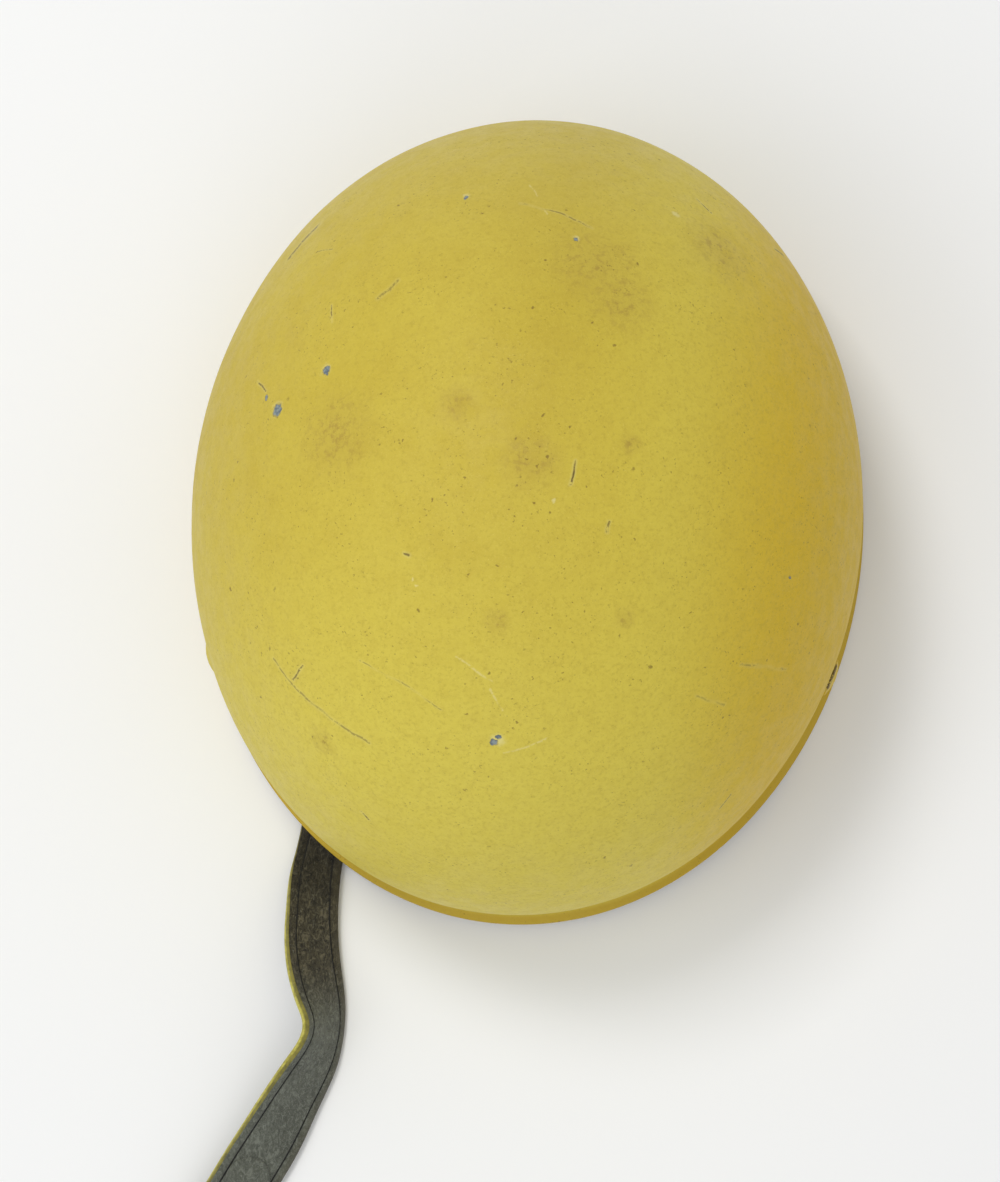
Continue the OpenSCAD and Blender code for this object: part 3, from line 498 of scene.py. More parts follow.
def thread(name, colour):
    g = Graph(name)
    twist = g.noise(2600, 3, 0.6)
    base = g.mix(g.step(twist, 0.35, 0.7), tuple(0.5 * c for c in colour), tuple(1.4 * c for c in colour))
    return g.finish(base, 0.85, [(twist, 0.0002)])


def floor_white():
    """White card: the camera and reflections see it a little whiter than the light it gives back, and far
    from the helmet the camera sees it as white as the background."""
    g = Graph("floor_white")
    paths = g.node("LightPath", {}).outputs
    seen = g.largest([paths["Is Camera Ray"], paths["Is Glossy Ray"], paths["Is Transmission Ray"]])
    tint = g.step(g.noise(3, 4), 0.35, 0.65)
    base = g.mix(seen, (0.86, 0.862, 0.84), g.mix(tint, (0.90, 0.907, 0.905), (0.912, 0.918, 0.915)))
    far = g.step(g.vector("LENGTH", g.place), 1.1, 3.4, 0, 0.33)
    g.put(g.bsdf.inputs["Emission Color"], (0.98, 0.99, 1))
    g.put(g.bsdf.inputs["Emission Strength"], g.math("MULTIPLY", far, paths["Is Camera Ray"]))
    return g.finish(base, 0.9, [(g.noise(260, 3), 0.00002)], Specular_IOR_Level=0.1)


PAINT = shell_paint()
SUEDE = strap_leather()
LINER = liner_leather("liner_leather", srgb(96, 66, 40), srgb(144, 106, 68))
LACE = liner_leather("lace_leather", srgb(70, 44, 26), srgb(112, 76, 48))
STEEL = metal("plain_steel", srgb(176, 176, 172), srgb(98, 92, 84), 0.34)
ALLOY = metal("band_alloy", srgb(186, 188, 190), srgb(122, 122, 120), 0.38, (0.15, 0.15, 3))
BRASS = metal("brass_fittings", srgb(182, 150, 88), srgb(92, 74, 44), 0.36, tarnish=0.55)
RUBBER = pad_rubber()
BLACK_THREAD = thread("black_thread", srgb(30, 30, 27))


def add(name, points, faces, material, uv=None, smooth_angle=40, body="helmet"):
    """A piece from points in millimetres. uv gives one pair for each point."""
    mesh = bpy.data.meshes.new(name)
    mesh.from_pydata((np.asarray(points, float) * MM).tolist(), [], [list(map(int, f)) for f in faces])
    if uv is not None:
        layer = mesh.uv_layers.new(name="UVMap")
        corner = np.zeros(len(mesh.loops), int)
        mesh.loops.foreach_get("vertex_index", corner)
        layer.data.foreach_set("uv", np.asarray(uv, np.float32)[corner].ravel())
    mesh.materials.append(material)
    obj = in_scene(name, mesh)
    outward(mesh)
    smooth(mesh, smooth_angle)
    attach(obj, body)
    return obj


def outward(mesh):
    bm = bmesh.new()
    bm.from_mesh(mesh)
    bmesh.ops.recalc_face_normals(bm, faces=bm.faces)
    if bm.calc_volume(signed=True) < 0:
        bmesh.ops.reverse_faces(bm, faces=bm.faces)
    bm.to_mesh(mesh)
    bm.free()


def smooth(mesh, angle):
    mesh.polygons.foreach_set("use_smooth", [True] * len(mesh.polygons))
    mesh.set_sharp_from_angle(angle=math.radians(angle))


def apply_modifiers(obj, angle=40):
    depsgraph = bpy.context.evaluated_depsgraph_get()
    made = bpy.data.meshes.new_from_object(obj.evaluated_get(depsgraph))
    obj.modifiers.clear()
    obj.data = made
    smooth(made, angle)


def cut(obj, points, faces, angle=40):
    """Takes a closed cutter, in millimetres, out of a piece."""
    tool = add("cutter", points, faces, PAINT)
    modifier = obj.modifiers.new("cut", "BOOLEAN")
    modifier.object = tool
    modifier.operation = "DIFFERENCE"
    modifier.solver = "EXACT"
    apply_modifiers(obj, angle)
    bpy.data.objects.remove(tool)


def grid_faces(rows, columns, around=False, closed=False):
    """Faces of a grid of points, row by row. around joins last column to first, closed last row to first."""
    made = []
    for i in range(rows if closed else rows - 1):
        for j in range(columns if around else columns - 1):
            a, b = i * columns + j, i * columns + (j + 1) % columns
            c, d = (i + 1) % rows * columns + (j + 1) % columns, (i + 1) % rows * columns + j
            made.append((a, b, c, d))
    return made


def end_caps(count, columns):
    """The first and the last row of a grid of count points, as two faces."""
    return [list(range(columns)), [count - 1 - k for k in range(columns)]]


def unit_rows(rows):
    return rows / np.linalg.norm(rows, axis=1)[:, None]


def run_length(points):
    """How far each point lies along a line of points."""
    return np.concatenate([[0], np.cumsum(np.linalg.norm(np.diff(points, axis=0), axis=1))])


def loop_directions(points):
    """The direction of a closed line at each of its points."""
    return unit_rows(np.roll(points, -1, axis=0) - np.roll(points, 1, axis=0))


def rounded_box(half_a, half_b, corner, turn_step, count):
    """A rounded rectangle as pairs, with count points at each corner."""
    made = []
    for a, b, start in ((1, 1, 0), (-1, 1, 90), (-1, -1, 180), (1, -1, 270)):
        for k in range(count):
            t = math.radians(start + turn_step * k)
            made.append(
                (a * (half_a - corner) + corner * math.cos(t), b * (half_b - corner) + corner * math.sin(t))
            )
    return made


def rods(ends, radius, sides=24):
    """Points and faces of straight round cutters from one point to another."""
    points, faces = [], []
    for a, b in ends:
        way = (Vector(b) - Vector(a)).normalized()
        u = way.orthogonal().normalized()
        v = way.cross(u)
        first = len(points)
        for end in (a, b):
            for k in range(sides):
                t = 2 * math.pi * k / sides
                points.append(Vector(end) + radius * (math.cos(t) * u + math.sin(t) * v))
        for k in range(sides):
            m = (k + 1) % sides
            faces.append((first + k, first + m, first + sides + m, first + sides + k))
        faces.append([first + sides - 1 - k for k in range(sides)])
        faces.append([first + sides + k for k in range(sides)])
    return points, faces


def soft_max(a, b):
    return 0.5 * (a + b + math.sqrt((a - b) ** 2 + 0.2))


def brow_arch(y):
    r = (BROW_SPAN ** 2 + BROW_H ** 2) / (2 * BROW_H)
    d = y - (BROW_BACK - SHELL_L)
    return max(BROW_H - r + math.sqrt(r * r - d * d), 0) if abs(d) < r else 0


def shell_profile(low):
    """The half section of the shell as (radius, lengthwise ratio, height), from the crown outside, down round
    the turned rim and up to the crown inside. low is the height of the rim's lower edge."""
    out, into = SHELL_L / SHELL_W, (SHELL_L - SHEET) / (SHELL_W - SHEET)
    inner = SHELL_W - SHEET
    edge = soft_max(RIM_EDGE, low + 1.9)
    drop = soft_max(RIM_EDGE - 0.56, low + 1.95)
    made = []
    for t in np.linspace(0.02, math.pi / 2, 64):
        made.append((SHELL_W * math.sin(t), out, WALL_Z + (CROWN_Z - WALL_Z) * math.cos(t)))
    rim = SHELL_W + RIM_OUT
    made += [(SHELL_W, out, z) for z in (38, 31, 24, 17, 12, 10.4)]
    made += [(SHELL_W + 0.05, out, 9.75), (SHELL_W + 0.2, out, 9.25), (SHELL_W + 0.5, out, 8.8)]
    made += [(SHELL_W + s * RIM_OUT, out, RIM_Z + s * (edge - RIM_Z)) for s in (0.3, 0.55, 0.8)]
    hem = (
        (-0.3, edge + 0.25), (-0.05, edge - 0.2), (0, (edge + low) / 2), (0, low + 0.75), (-0.12, low + 0.35),
        (-0.4, low + 0.1), (-0.75, low), (0.6 - HEM_W, low), (0.15 - HEM_W, low + 0.2), (-HEM_W, low + 0.65),
        (0.2 - HEM_W, low + 1.15), (0.6 - HEM_W, low + 1.35),
    )
    made += [(rim + r, out, z) for r, z in hem]
    flare = inner + RIM_OUT
    made += [(flare - 0.4, into, low + 1.4), (flare, into, low + 1.7), (flare, into, drop - 0.2)]
    made += [(inner + RIM_OUT * s, into, drop + (RIM_Z - 0.56 - drop) * (1 - s)) for s in (0.92, 0.6, 0.3)]
    made += [(inner + r, into, z) for r, z in ((0.2, 8.35), (0, 9.2), (0, 14), (0, 22), (0, 30), (0, 38))]
    for t in np.linspace(math.pi / 2, 0.03, 40):
        made.append((inner * math.sin(t), into, WALL_Z + (CROWN_Z - SHEET - WALL_Z) * math.cos(t)))
    return made


DENTS = [
    ((330, 705), 13, 0.5), ((600, 270), 17, 0.45), ((700, 560), 20, 0.4), ((430, 330), 22, 0.35),
    ((760, 400), 15, 0.4), ((430, 800), 16, 0.4),
]


def uneven(points):
    """The pressed sheet isn't perfectly true: long shallow waves and a few dents."""
    centre = np.array((0, 0, 30))
    dents = [(np.array(on_dome(*p)), r, d) for p, r, d in DENTS]
    made = []
    for p in points:
        wave = noise.noise(Vector(p) / 60) * 0.35 + noise.noise(Vector(p) / 22 + Vector((9, 9, 9))) * 0.09
        wave *= min(max((p[2] - 14) / 30, 0), 1)
        for q, r, d in dents:
            away = np.linalg.norm(p - q)
            if away < 3 * r:
                wave -= d * math.exp(-(away / r) ** 2)
        way = p - centre
        made.append(p + way / np.linalg.norm(way) * wave)
    return np.array(made)


def build_shell():
    turns = 384
    rings = []
    for j in range(turns):
        a = 2 * math.pi * j / turns
        low = brow_arch((SHELL_L + RIM_OUT * SHELL_L / SHELL_W) * math.sin(a))
        rings.append([(r * math.cos(a), r * q * math.sin(a), z) for r, q, z in shell_profile(low)])
    rows = len(rings[0])
    points = [rings[j][i] for i in range(rows) for j in range(turns)]
    faces = grid_faces(rows, turns, around=True)
    top = len(points)
    points += [(0, 0, CROWN_Z), (0, 0, CROWN_Z - SHEET)]
    last = (rows - 1) * turns
    for j in range(turns):
        m = (j + 1) % turns
        faces += [(top, j, m), (top + 1, last + m, last + j)]
    shell = add("helmet_shell", uneven(np.array(points, float)), faces, PAINT, smooth_angle=60)
    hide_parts("steel_shell")


build_shell()


def wall(a, inset, z, tilt, w):
    t = math.radians(a)
    return ((SHELL_W - inset) * math.cos(t), (SHELL_L - inset) * math.sin(t), z, tilt, w)


def resting(tilt, w):
    t = math.radians(tilt)
    return w / 2 * abs(math.sin(t)) + STRAP_T / 2 * math.cos(t) + 0.05


def ahead(x, out, tilt, w):
    return (x, -SHELL_L - out, resting(tilt, w), tilt, w)


STRAP_INSET = SHEET + 0.35 + STRAP_T / 2
JOINT_TURN, JOINT_Z, JOINT_INSET, JOINT_STEP = 10.5, 15, 4.4, 3.6


def from_bolt(a, turn):
    inset = STRAP_INSET
    return [
        wall(a - 3.8 * turn, inset, BOLT_Z + 4, 90 * turn, 7),
        wall(a - 2.6 * turn, inset, BOLT_Z + 2.5, 90 * turn, 13),
        wall(a, inset, BOLT_Z, 90 * turn, HARNESS_W),
        wall(a + 5 * turn, inset + 0.2, BOLT_Z - 7, 90 * turn, HARNESS_W),
    ]


def past_joint(a, turn):
    return [
        wall(a + 8 * turn, JOINT_INSET - 0.3, JOINT_Z + 8.2, 90 * turn, HARNESS_W),
        wall(a + JOINT_TURN * turn, JOINT_INSET, JOINT_Z + 2.7, 90 * turn, HARNESS_W),
        wall(a + (JOINT_TURN + 2.5) * turn, JOINT_INSET + 0.1, JOINT_Z - 1.8, 90 * turn, HARNESS_W),
    ]


H = HARNESS_W
CHIN_ROUTE = from_bolt(BOLTS[0], 1) + past_joint(BOLTS[0], 1) + [
    wall(BOLTS[0] + 17, 7.2, 8.2, 74, H),
    wall(BOLTS[0] + 21, 8.8, 7.2, 52, H),
    wall(BOLTS[0] + 24.9, 10.5, 5.1, 28, H),
] + [ahead(*entry) for entry in (
    (-58.9, -32, 9, H), (-57.9, -26, 3, H), (-58.2, -19.5, 3, H), (-59.2, -12.5, 3, H),
    (-60, -4.5, 16, H + 1), (-59.8, 4.5, 28, H + 2), (-59.2, 13.5, 35, H + 3.5),
    (-57.6, 22.5, 41, H + 4.5), (-54.9, 31.5, 51, CHIN_W - 0.5), (-52.4, 39.5, 62, CHIN_W),
    (-52.9, 46.5, 60, CHIN_W), (-55.6, 54.5, 50, CHIN_W), (-61.2, 66.5, 40, CHIN_W),
    (-66.8, 79, 28, CHIN_W), (-71.3, 87.9, 24, CHIN_W), (-75.8, 96.9, 24, CHIN_W),
    (-80.3, 105.8, 22, CHIN_W), (-84.8, 114.7, 14, CHIN_W), (-89.3, 123.6, 6, CHIN_W),
    (-93.8, 132.5, 1, CHIN_W), (-98.3, 141.5, 0, CHIN_W), (-102.3, 149.5, 0, CHIN_W - 1.5),
    (-104.6, 154, 0, CHIN_W - 7.5), (-105.8, 156.3, 0, CHIN_W - 14.5),
)]


def rear_route(bolt, front, turn):
    inset = STRAP_INSET
    end = JOINT_INSET + JOINT_STEP
    entries = (
        (bolt, 11, inset + 1.2, 22.5, 88, H), (bolt, 18, inset + 2, 14.5, 88, H), (bolt, 26, 9.5, 10, 88, H),
        (bolt, 34, 12, 9, 88, H), (bolt, 46, 13, 9, 88, H), (front, -4, 12, 9, 88, H), (front, 3, 9.7, 10.6, 90, H),
        (front, 7.5, end, JOINT_Z - 2.4, 90, H), (front, JOINT_TURN, end, JOINT_Z - 1.4, 90, H),
        (front, JOINT_TURN + 1.2, end, JOINT_Z - 1, 90, H), (front, JOINT_TURN + 2.2, end, JOINT_Z - 0.7, 90, 13),
    )
    return from_bolt(bolt, turn) + [wall(a + d * turn, i, z, tilt * turn, w) for a, d, i, z, tilt, w in entries]



FRONT_LEFT_ROUTE = from_bolt(BOLTS[1], -1) + past_joint(BOLTS[1], -1) + [
    wall(BOLTS[1] - 17, 6.8, 9.8, -76, H),
    wall(BOLTS[1] - 21.5, 9, 8, -58, H),
    wall(BOLTS[1] - 26.8, 13.8, 6.4, -38, H),
    (BUCKLE.x + 71, BUCKLE.y + 2.8, 4.4, -18, H),
    (BUCKLE.x + 63.5, BUCKLE.y + 0.4, 3.4, -5, H),
] + [(BUCKLE.x + x, BUCKLE.y, BUCKLE.z, 0, H) for x in (56, 46, 36, 24, 11)]
NAPE_ROUTE = [wall(a, inset, 9, -88, w) for a, inset, w in (
    (BOLTS[2] + 40.5, 15.9, 7), (BOLTS[2] + 39, 15.8, 13), (BOLTS[2] + 36, 15.6, H), (BOLTS[2] + 26, 15.2, H),
    (BOLTS[2] + 12, 14.6, H), (131, 14.2, H), (112, 14, H), (92, 14, H), (72, 14, H), (53, 14.2, H),
    (BOLTS[3] - 12, 14.6, H), (BOLTS[3] - 26, 15.2, H), (BOLTS[3] - 36, 15.6, H), (BOLTS[3] - 39, 15.8, 13),
    (BOLTS[3] - 40.5, 15.9, 7),
)]


def strap_line(route):
    """A smooth line through a route's entries, as evenly spaced rows of x, y, z, tilt and width."""
    spacing, softening = 1.1, 10
    route = np.array(route, float)
    last = len(route) - 1
    rows = []
    for i in range(last):
        a, b, c, d = (route[min(max(i + k, 0), last)] for k in (-1, 0, 1, 2))
        for u in np.linspace(0, 1, 24, endpoint=False):
            rows.append(0.5 * (
                2 * b + (c - a) * u + (2 * a - 5 * b + 4 * c - d) * u ** 2 + (3 * b - a - 3 * c + d) * u ** 3
            ))
    rows = np.array(rows + [route[last]])
    along = run_length(rows[:, :3])
    at = np.linspace(0, along[-1], max(int(along[-1] / spacing), 8))
    rows = np.stack([np.interp(at, along, rows[:, k]) for k in range(5)], axis=1)
    for _ in range(softening):
        rows[1:-1] = (rows[:-2] + 2 * rows[1:-1] + rows[2:]) / 4
    for row in rows:
        row[2] = max(row[2], resting(row[3], row[4]))
    return rows, at


def strap_frames(rows):
    """The strap's directions at each row: across its width and out of its upper face."""
    along = unit_rows(np.gradient(rows[:, :3], axis=0))
    side = unit_rows(np.cross(along, (0, 0, 1)))
    up = np.cross(side, along)
    tilt = np.radians(rows[:, 3])[:, None]
    across = np.cos(tilt) * side + np.sin(tilt) * up
    return across, np.cross(across, along)


def on_floor(points):
    points = np.array(points, float)
    points[:, 2] = np.maximum(points[:, 2], 0.02)
    return points


def section(w, t, layers=2, seam=3.2):
    """A strap's cross-section as rows of (across, height, UV y), with sunk seams and rounded edges."""
    half, q = w / 2, t / 2
    c = min(0.55, 0.8 * q / layers)
    s = min(seam, 0.42 * half)
    line = half - s
    stops = [
        half - c, line + 0.8, line + 0.35, line + 0.15, line, line - 0.15, line - 0.35, line - 0.8, 0.55 * line,
        0.25 * line,
    ]
    xs = stops + [0] + [-x for x in reversed(stops)]
    face = [(x, q - 0.38 * math.exp(-(((abs(x) - line) / 0.3) ** 2)) + 0.05 * (1 - (x / half) ** 2)) for x in xs]
    edge = [(half - 0.3 * c, q - 0.3 * c), (half, q - c)]
    if layers == 2:
        edge += [(half, 0.2), (half - 0.3, 0), (half, -0.2)]
    edge += [(half, c - q), (half - 0.3 * c, 0.3 * c - q)]
    ring = face + [(-x, h) for x, h in edge] + [(-x, -h) for x, h in face] + list(reversed(edge))
    side = len(face)
    made = []
    for k, (x, h) in enumerate(ring):
        v = math.copysign(0.7 * min(abs(x) / line, 1) + 0.3 * max(abs(x) - line, 0) / s, x)
        if side <= k < side + len(edge) or k >= 2 * side + len(edge):
            v = math.copysign(1.1 if h > 0.05 * t else 1.3, x)
        made.append((x, h, v))
    return made


def ribbon(name, centres, across, up, widths, t, at, layers=2, seam=3.2, closed=False, body="helmet"):
    """A leather strip along a line, with rounded edges and closed ends."""
    points, uv = [], []
    for c, a, n, w, s in zip(centres, across, up, widths, at):
        for x, h, v in section(w, t, layers, seam):
            points.append(c + x * a + h * n)
            uv.append((s * MM, v))
    columns = len(section(10, t, layers, seam))
    rows = len(centres)
    faces = grid_faces(rows, columns, around=True, closed=closed)
    if not closed:
        faces += end_caps(len(points), columns)
    return add(name, on_floor(points), faces, SUEDE, uv, 50, body)


def stitches(name, centres, across, up, widths, t, at, seam=3.2, both=True, span=None):
    """Threads lying in a strip's two seams, on its upper face and on its lower one."""
    pitch, length = 2.1, 2.0
    along = np.gradient(centres, axis=0)
    points, faces = [], []
    first, last = span or (at[0] + 3, at[-1] - 3)
    for s in np.arange(first, last, pitch):
        row = [np.array([np.interp(s, at, v[:, k]) for k in range(3)]) for v in (centres, across, up, along)]
        w = np.interp(s, at, widths)
        c, a, n, d = row
        a, n, d = (v / np.linalg.norm(v) for v in (a, n, d))
        line = w / 2 - min(seam, 0.21 * w)
        for side in (-1, 1):
            for face in ((1, -1) if both else (1,)):
                base = c + side * line * a + face * (t / 2 - 0.28) * n
                start = len(points)
                for u, r in ((-0.5, 0.06), (-0.42, 0.19), (-0.2, 0.24), (0.2, 0.24), (0.42, 0.19), (0.5, 0.06)):
                    lift = 0.06 - 0.9 * abs(u) ** 3
                    for k in range(6):
                        q = math.pi * k / 3
                        points.append(
                            base + u * length * d + r * math.cos(q) * a + face * (lift + r * math.sin(q)) * n
                        )
                faces += [[start + i for i in f] for f in grid_faces(6, 6, around=True)]
                faces += [[start + k for k in range(6)], [start + 35 - k for k in range(6)]]
    return add(name, on_floor(points), faces, BLACK_THREAD, smooth_angle=80)


def build_strap(name, node, route, seam=3.2):
    rows, at = strap_line(route)
    across, up = strap_frames(rows)
    strap = ribbon(name, rows[:, :3], across, up, rows[:, 4], STRAP_T, at, seam=seam)
    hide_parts(node)
    thread_piece = stitches(name + "_stitches", rows[:, :3], across, up, rows[:, 4], STRAP_T, at, seam)
    return strap, rows, at, across, up


def build_chin_strap():
    strap, rows, at, across, up = build_strap("chin_strap_leather", "chin_strap", CHIN_ROUTE)
    # The punched holes start at one entry of the route and run towards another, and the stud lies between two
    start, end = Vector(CHIN_ROUTE[28][:3]), Vector(CHIN_ROUTE[30][:3])
    holes = [start + HOLE_PITCH * i * (end - start).normalized() for i in range(HOLES)]
    cut(strap, *rods([(p - Vector((0, 0, 6)), p + Vector((0, 0, 6))) for p in holes], HOLE_R, 32), angle=50)
    stud = (Vector(CHIN_ROUTE[24][:3]) + Vector(CHIN_ROUTE[25][:3])) / 2
    i = int(np.argmin(np.linalg.norm(rows[:, :2] - np.array(stud[:2]), axis=1)))
    profile = [
        (0.01, 1.15), (1.2, 1.14), (2.6, 1.05), (4, 0.98), (4.9, 0.86), (5.4, 0.78), (5.9, 0.84), (6.6, 0.86),
        (7.2, 0.74),
    ]
    profile += [(7.45, 0.5), (7.5, 0.3), (7.4, 0.12), (7.1, 0.05), (5, 0.05), (2, 0.05), (0.01, 0.05)]
    turned("stud_disc_leather", "stud_patch", rows[i, :3] + (STRAP_T / 2) * up[i], across[i], up[i], profile)


def turned(name, node, centre, across, up, profile):
    """A round leather piece from a profile of (radius, height), standing on a point."""
    sides = 72
    other = np.cross(up, across)
    points, uv = [], []
    for r, h in profile:
        for k in range(sides):
            t = 2 * math.pi * k / sides
            points.append(centre + r * math.cos(t) * across + r * math.sin(t) * other + h * up)
            uv.append((0, 0.4 * math.cos(t)))
    faces = grid_faces(len(profile), sides, around=True) + end_caps(len(points), sides)
    piece = add(name, points, faces, SUEDE, uv, smooth_angle=50)
    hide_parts(node)


build_chin_strap()
build_strap("rear_strap_right_leather", "rear_strap_right", rear_route(BOLTS[2], BOLTS[0], 1), 2.6)
build_strap("rear_strap_left_leather", "rear_strap_left", rear_route(BOLTS[3], BOLTS[1], -1), 2.6)
build_strap("front_strap_left_leather", "front_strap_left", FRONT_LEFT_ROUTE, 2.6)
build_strap("nape_strap_leather", "nape_strap", NAPE_ROUTE, 2.6)


LINER_MID = LINER_W - LEATHER / 2


def crown_z(x, y):
    return LINER_Z + math.sqrt(max(LINER_MID * LINER_MID - x * x - (y / LINER_RATIO) ** 2, 0))


def build_liner():
    """Tongues cut into one leather crown, which leans out to the band and folds round its lower edge."""
    r = LINER_MID
    reach = [22, 24, 27, 30, 34, 38, 42, 46, 50, 54, 58, 62, 65, 67, 68, 69, 69.8, 70.4, 70.8, TONGUE_END]
    columns = 13
    half_tongue = math.pi / TONGUES
    slit = TONGUE_END - 3
    points, faces = [], []
    for k in range(TONGUES):
        start = len(points)
        rows = []
        for rho in reach:
            gap = 3 + 3 * (slit - rho) / slit if rho <= slit else math.sqrt(max(9 - (rho - slit) ** 2, 0))
            spread = half_tongue - math.asin(gap / rho)
            row = []
            for c in np.linspace(-1, 1, columns):
                th = 2 * k * half_tongue + c * spread
                x, y = rho * math.cos(th), rho * math.sin(th)
                belly = 0.7 * math.cos(math.pi * c / 2) * math.exp(-((rho - 48) / 16) ** 2)
                rise = 0.8 * noise.noise(Vector((x, y, 5)) / 18)
                row.append((x, y, crown_z(x, y) + belly + rise * min((TONGUE_END - rho) / 8, 1)))
            rows.append(row)
        edge = []
        for c in np.linspace(-1, 1, columns):
            th = 2 * k * half_tongue + c * half_tongue
            edge.append((th, math.atan2(math.sin(th) / LINER_RATIO, math.cos(th))))
        for s in (0.25, 0.45, 0.62, 0.76, 0.88, 0.95, 0.985, 1):
            row = []
            for th, a in edge:
                x = (1 - s) * TONGUE_END * math.cos(th) + s * r * math.cos(a)
                y = (1 - s) * TONGUE_END * math.sin(th) + s * r * LINER_RATIO * math.sin(a)
                row.append((x, y, crown_z(x, y) if s < 1 else LINER_Z))
            rows.append(row)
        lower = [
            (82.4, 47.5), (84.3, 44.5), (87, 40.3), (89.6, 36.2), (91.4, 33.4), (92.2, 31), (92.2, 28),
            (92.2, 25.4), (92.5, 24.4), (93.2, 23.9), (94, 23.8), (94.9, 23.9), (95.5, 24.4), (95.8, 25.4),
            (95.8, 28.2), (95.8, 31),
        ]
        for q, z in lower:
            row = []
            for th, a in edge:
                pucker = 0.35 * math.sin(12 * a + 1.4) * (1 if 26 < z < 44 and q < 92 else 0)
                row.append(((q + pucker) * math.cos(a), (q + pucker) * LINER_RATIO * math.sin(a), z))
            rows.append(row)
        points += [p for row in rows for p in row]
        faces += [[start + i for i in f] for f in grid_faces(len(rows), columns)]
    mesh = bpy.data.meshes.new("liner_leather_crown")
    mesh.from_pydata((np.array(points) * MM).tolist(), [], faces)
    bm = bmesh.new()
    bm.from_mesh(mesh)
    bmesh.ops.remove_doubles(bm, verts=bm.verts, dist=0.00002)
    bmesh.ops.recalc_face_normals(bm, faces=bm.faces)
    bm.to_mesh(mesh)
    bm.free()
    mesh.materials.append(LINER)
    obj = in_scene(mesh.name, mesh)
    thick = obj.modifiers.new("thickness", "SOLIDIFY")
    thick.thickness = LEATHER * MM
    thick.offset = 0
    thick.use_even_offset = True
    apply_modifiers(obj)
    lace, vents = [], []
    for k in range(TONGUES):
        for rho, side, holes in ((LACE_RING, 0, lace), (44, 0, vents), (60, -9, vents), (60, 9, vents)):
            t = 2 * k * half_tongue
            x, y = rho * math.cos(t) - side * math.sin(t), rho * math.sin(t) + side * math.cos(t)
            z = crown_z(x, y)
            holes.append(((x, y, z - 9), (x, y, z + 9)))
    cut(obj, *rods(lace, LACE_HOLE_R))
    cut(obj, *rods(vents, VENT_R))
    windows = []
    for a in BOLTS:
        p, n = bolt_axis(a)
        windows.append((p - (BAND_INSET + BAND_T + 18) * n, p - (BAND_INSET + 0.6) * n))
    cut(obj, *rods(windows, WINDOW_R, 40), angle=35)
    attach(obj, "helmet")
    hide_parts("leather_liner")


build_liner()


def build_lace():
    count, sides = 480, 12
    turn = np.linspace(0, 2 * math.pi, count, endpoint=False)
    ring = [(LACE_RING * math.cos(a), LACE_RING * math.sin(a), a) for a in turn]
    line = np.array([(x, y, crown_z(x, y) + 2.7 * math.sin(TONGUES * a)) for x, y, a in ring])
    along = loop_directions(line)
    out = unit_rows(np.cross(along, (0, 0, 1)))
    up = np.cross(out, along)
    points = []
    for i in range(count):
        for k in range(sides):
            q = 2 * math.pi * k / sides
            r = LACE_R * (1 + 0.06 * math.sin(3 * q + 0.35 * i))
            points.append(line[i] + r * math.cos(q) * out[i] + r * 0.85 * math.sin(q) * up[i])
    lace = add(
        "crown_lace_cord", points, grid_faces(count, sides, around=True, closed=True), LACE,
        smooth_angle=80
    )
    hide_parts("crown_lace")


build_lace()


def build_pad(node, start, end):
    """A rubber pad with soft edges in the room between shell and band."""
    outer, inner, low, high = SHEET + 0.3, BAND_INSET - 0.3, 32, 50
    mid, half, tall = (outer + inner) / 2, (inner - outer) / 2, (high - low) / 2
    corner = 1.6
    ring = rounded_box(half, tall, corner, 22.5, 5)
    count = max(int((end - start) * 1.2), 16)
    points = []
    ends = [0, 0.3, 0.6, 1, 1.5]
    spread = ends + [1.5 + (end - start - 3) * k / count for k in range(1, count)]
    spread += [end - start - x for x in reversed(ends)]
    for s in spread:
        t = math.radians(start + s)
        edge = min(s, end - start - s)
        swell = 1 - 0.35 * max(1 - edge / 1.5, 0) ** 2
        for d, z in ring:
            inset = mid - d * swell
            points.append((
                (SHELL_W - inset) * math.cos(t), (SHELL_L - inset) * math.sin(t),
                (low + high) / 2 + z * (1 - 0.08 * (1 - swell))
            ))
    columns = len(ring)
    faces = grid_faces(len(spread), columns, around=True) + end_caps(len(points), columns)
    pad = add(node + "_rubber", points, faces, RUBBER, smooth_angle=50)
    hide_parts(node)


build_pad("band_pad_front", BOLTS[0] + 28, 360 + BOLTS[1] - 28)
build_pad("band_pad_rear", BOLTS[3] + 15, BOLTS[2] - 15)
build_pad("band_pad_left", BOLTS[1] + 11, BOLTS[3] - 25)
build_pad("band_pad_right", BOLTS[2] + 25, BOLTS[0] - 11)


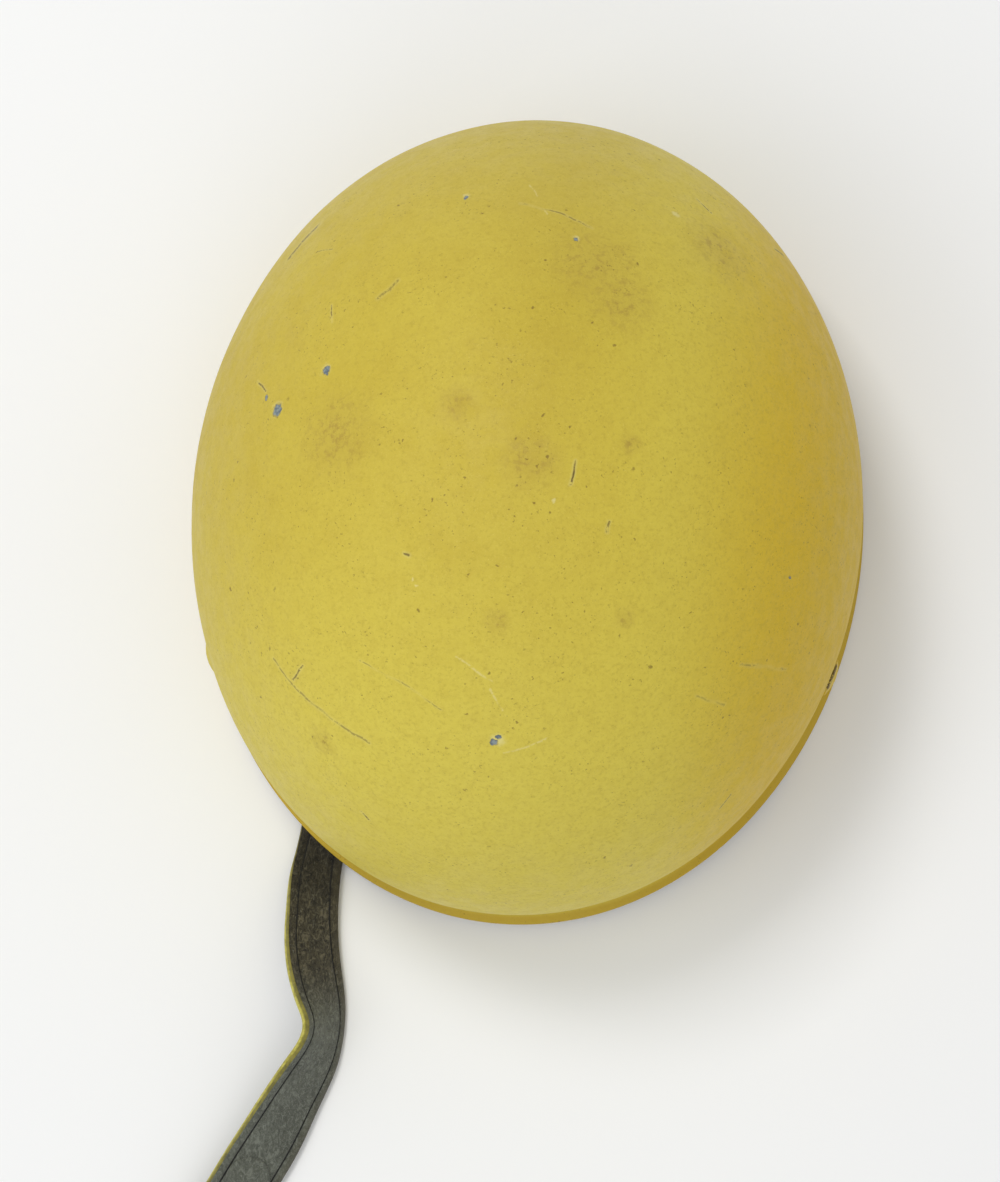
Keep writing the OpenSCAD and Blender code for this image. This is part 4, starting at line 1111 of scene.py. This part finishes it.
def build_chape():
    fold, end = 2.2, -22
    line = [(x, fold) for x in np.linspace(end, -0.4, 30)]
    line += [(fold * math.sin(t), fold * math.cos(t)) for t in np.linspace(0, math.pi, 17)]
    line += [(x, -fold) for x in np.linspace(-0.4, end, 30)]
    widths = np.full(len(line), HARNESS_W)
    centres = np.array([(BUCKLE.x - x, BUCKLE.y, BUCKLE.z + z) for x, z in line])
    along = unit_rows(np.gradient(centres, axis=0))
    across = np.tile((0.0, 1.0, 0.0), (len(line), 1))
    up = np.cross(across, along)
    at = run_length(centres)
    chape = ribbon("buckle_chape_leather", centres, across, up, widths, 1.4, at, layers=1, seam=2.6)
    box = [(x, y, z) for z in (-4, 10) for y in (-2.3, 2.3) for x in (-5, 10)]
    points = [(BUCKLE.x + x, BUCKLE.y + y, BUCKLE.z + z) for x, y, z in box]
    cut(chape, points, [(0, 1, 3, 2), (4, 6, 7, 5), (0, 4, 5, 1), (2, 3, 7, 6), (0, 2, 6, 4), (1, 5, 7, 3)])
    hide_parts("buckle_chape")
    for side, span in (("top", (2, 19)), ("under", (at[-1] - 19, at[-1] - 2))):
        name = "buckle_chape_stitches_" + side
        threads = stitches(name, centres, across, up, widths, 1.4, at, 2.6, both=False, span=span)


def build_keeper():
    half_y, half_z, r = 8.8, 2.3, 1.3
    line = rounded_box(half_y, half_z, r, 15, 7)
    centres = np.array([(BUCKLE.x + 28, BUCKLE.y + y, BUCKLE.z + z) for y, z in line])
    along = loop_directions(centres)
    across = np.tile((1.0, 0.0, 0.0), (len(line), 1))
    up = np.cross(across, along)
    at = run_length(centres)
    keeper = ribbon(
        "strap_keeper_leather", centres, across, up, np.full(len(line), 6.0), 1.2, at, layers=1, seam=1.4,
        closed=True, body="keeper"
    )
    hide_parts("strap_keeper")


build_chape()
build_keeper()


FINISHES = {
    PAINT: ("shell_bolts",),
    STEEL: ("bolt_spacers", "bolt_washers", "bolt_nuts", "buckle_frame", "buckle_prong", "buckle_roller"),
    ALLOY: ("liner_band",),
    BRASS: ("liner_rivets", "strap_eyelets", "press_stud", "harness_rivets"),
}
for material, nodes in FINISHES.items():
    for node in nodes:
        slots = NODES[node].data.materials
        for i in range(len(slots)):
            slots[i] = material


def build_floor():
    corners = ((-1, -1), (1, -1), (1, 1), (-1, 1))
    mesh = bpy.data.meshes.new("floor")
    mesh.from_pydata([(FLOOR_HALF * x, FLOOR_HALF * y, 0) for x, y in corners], [], [(0, 1, 2, 3)])
    mesh.materials.append(floor_white())
    floor = in_scene("floor", mesh)
    floor.location.z = -FLOOR_GAP


build_floor()
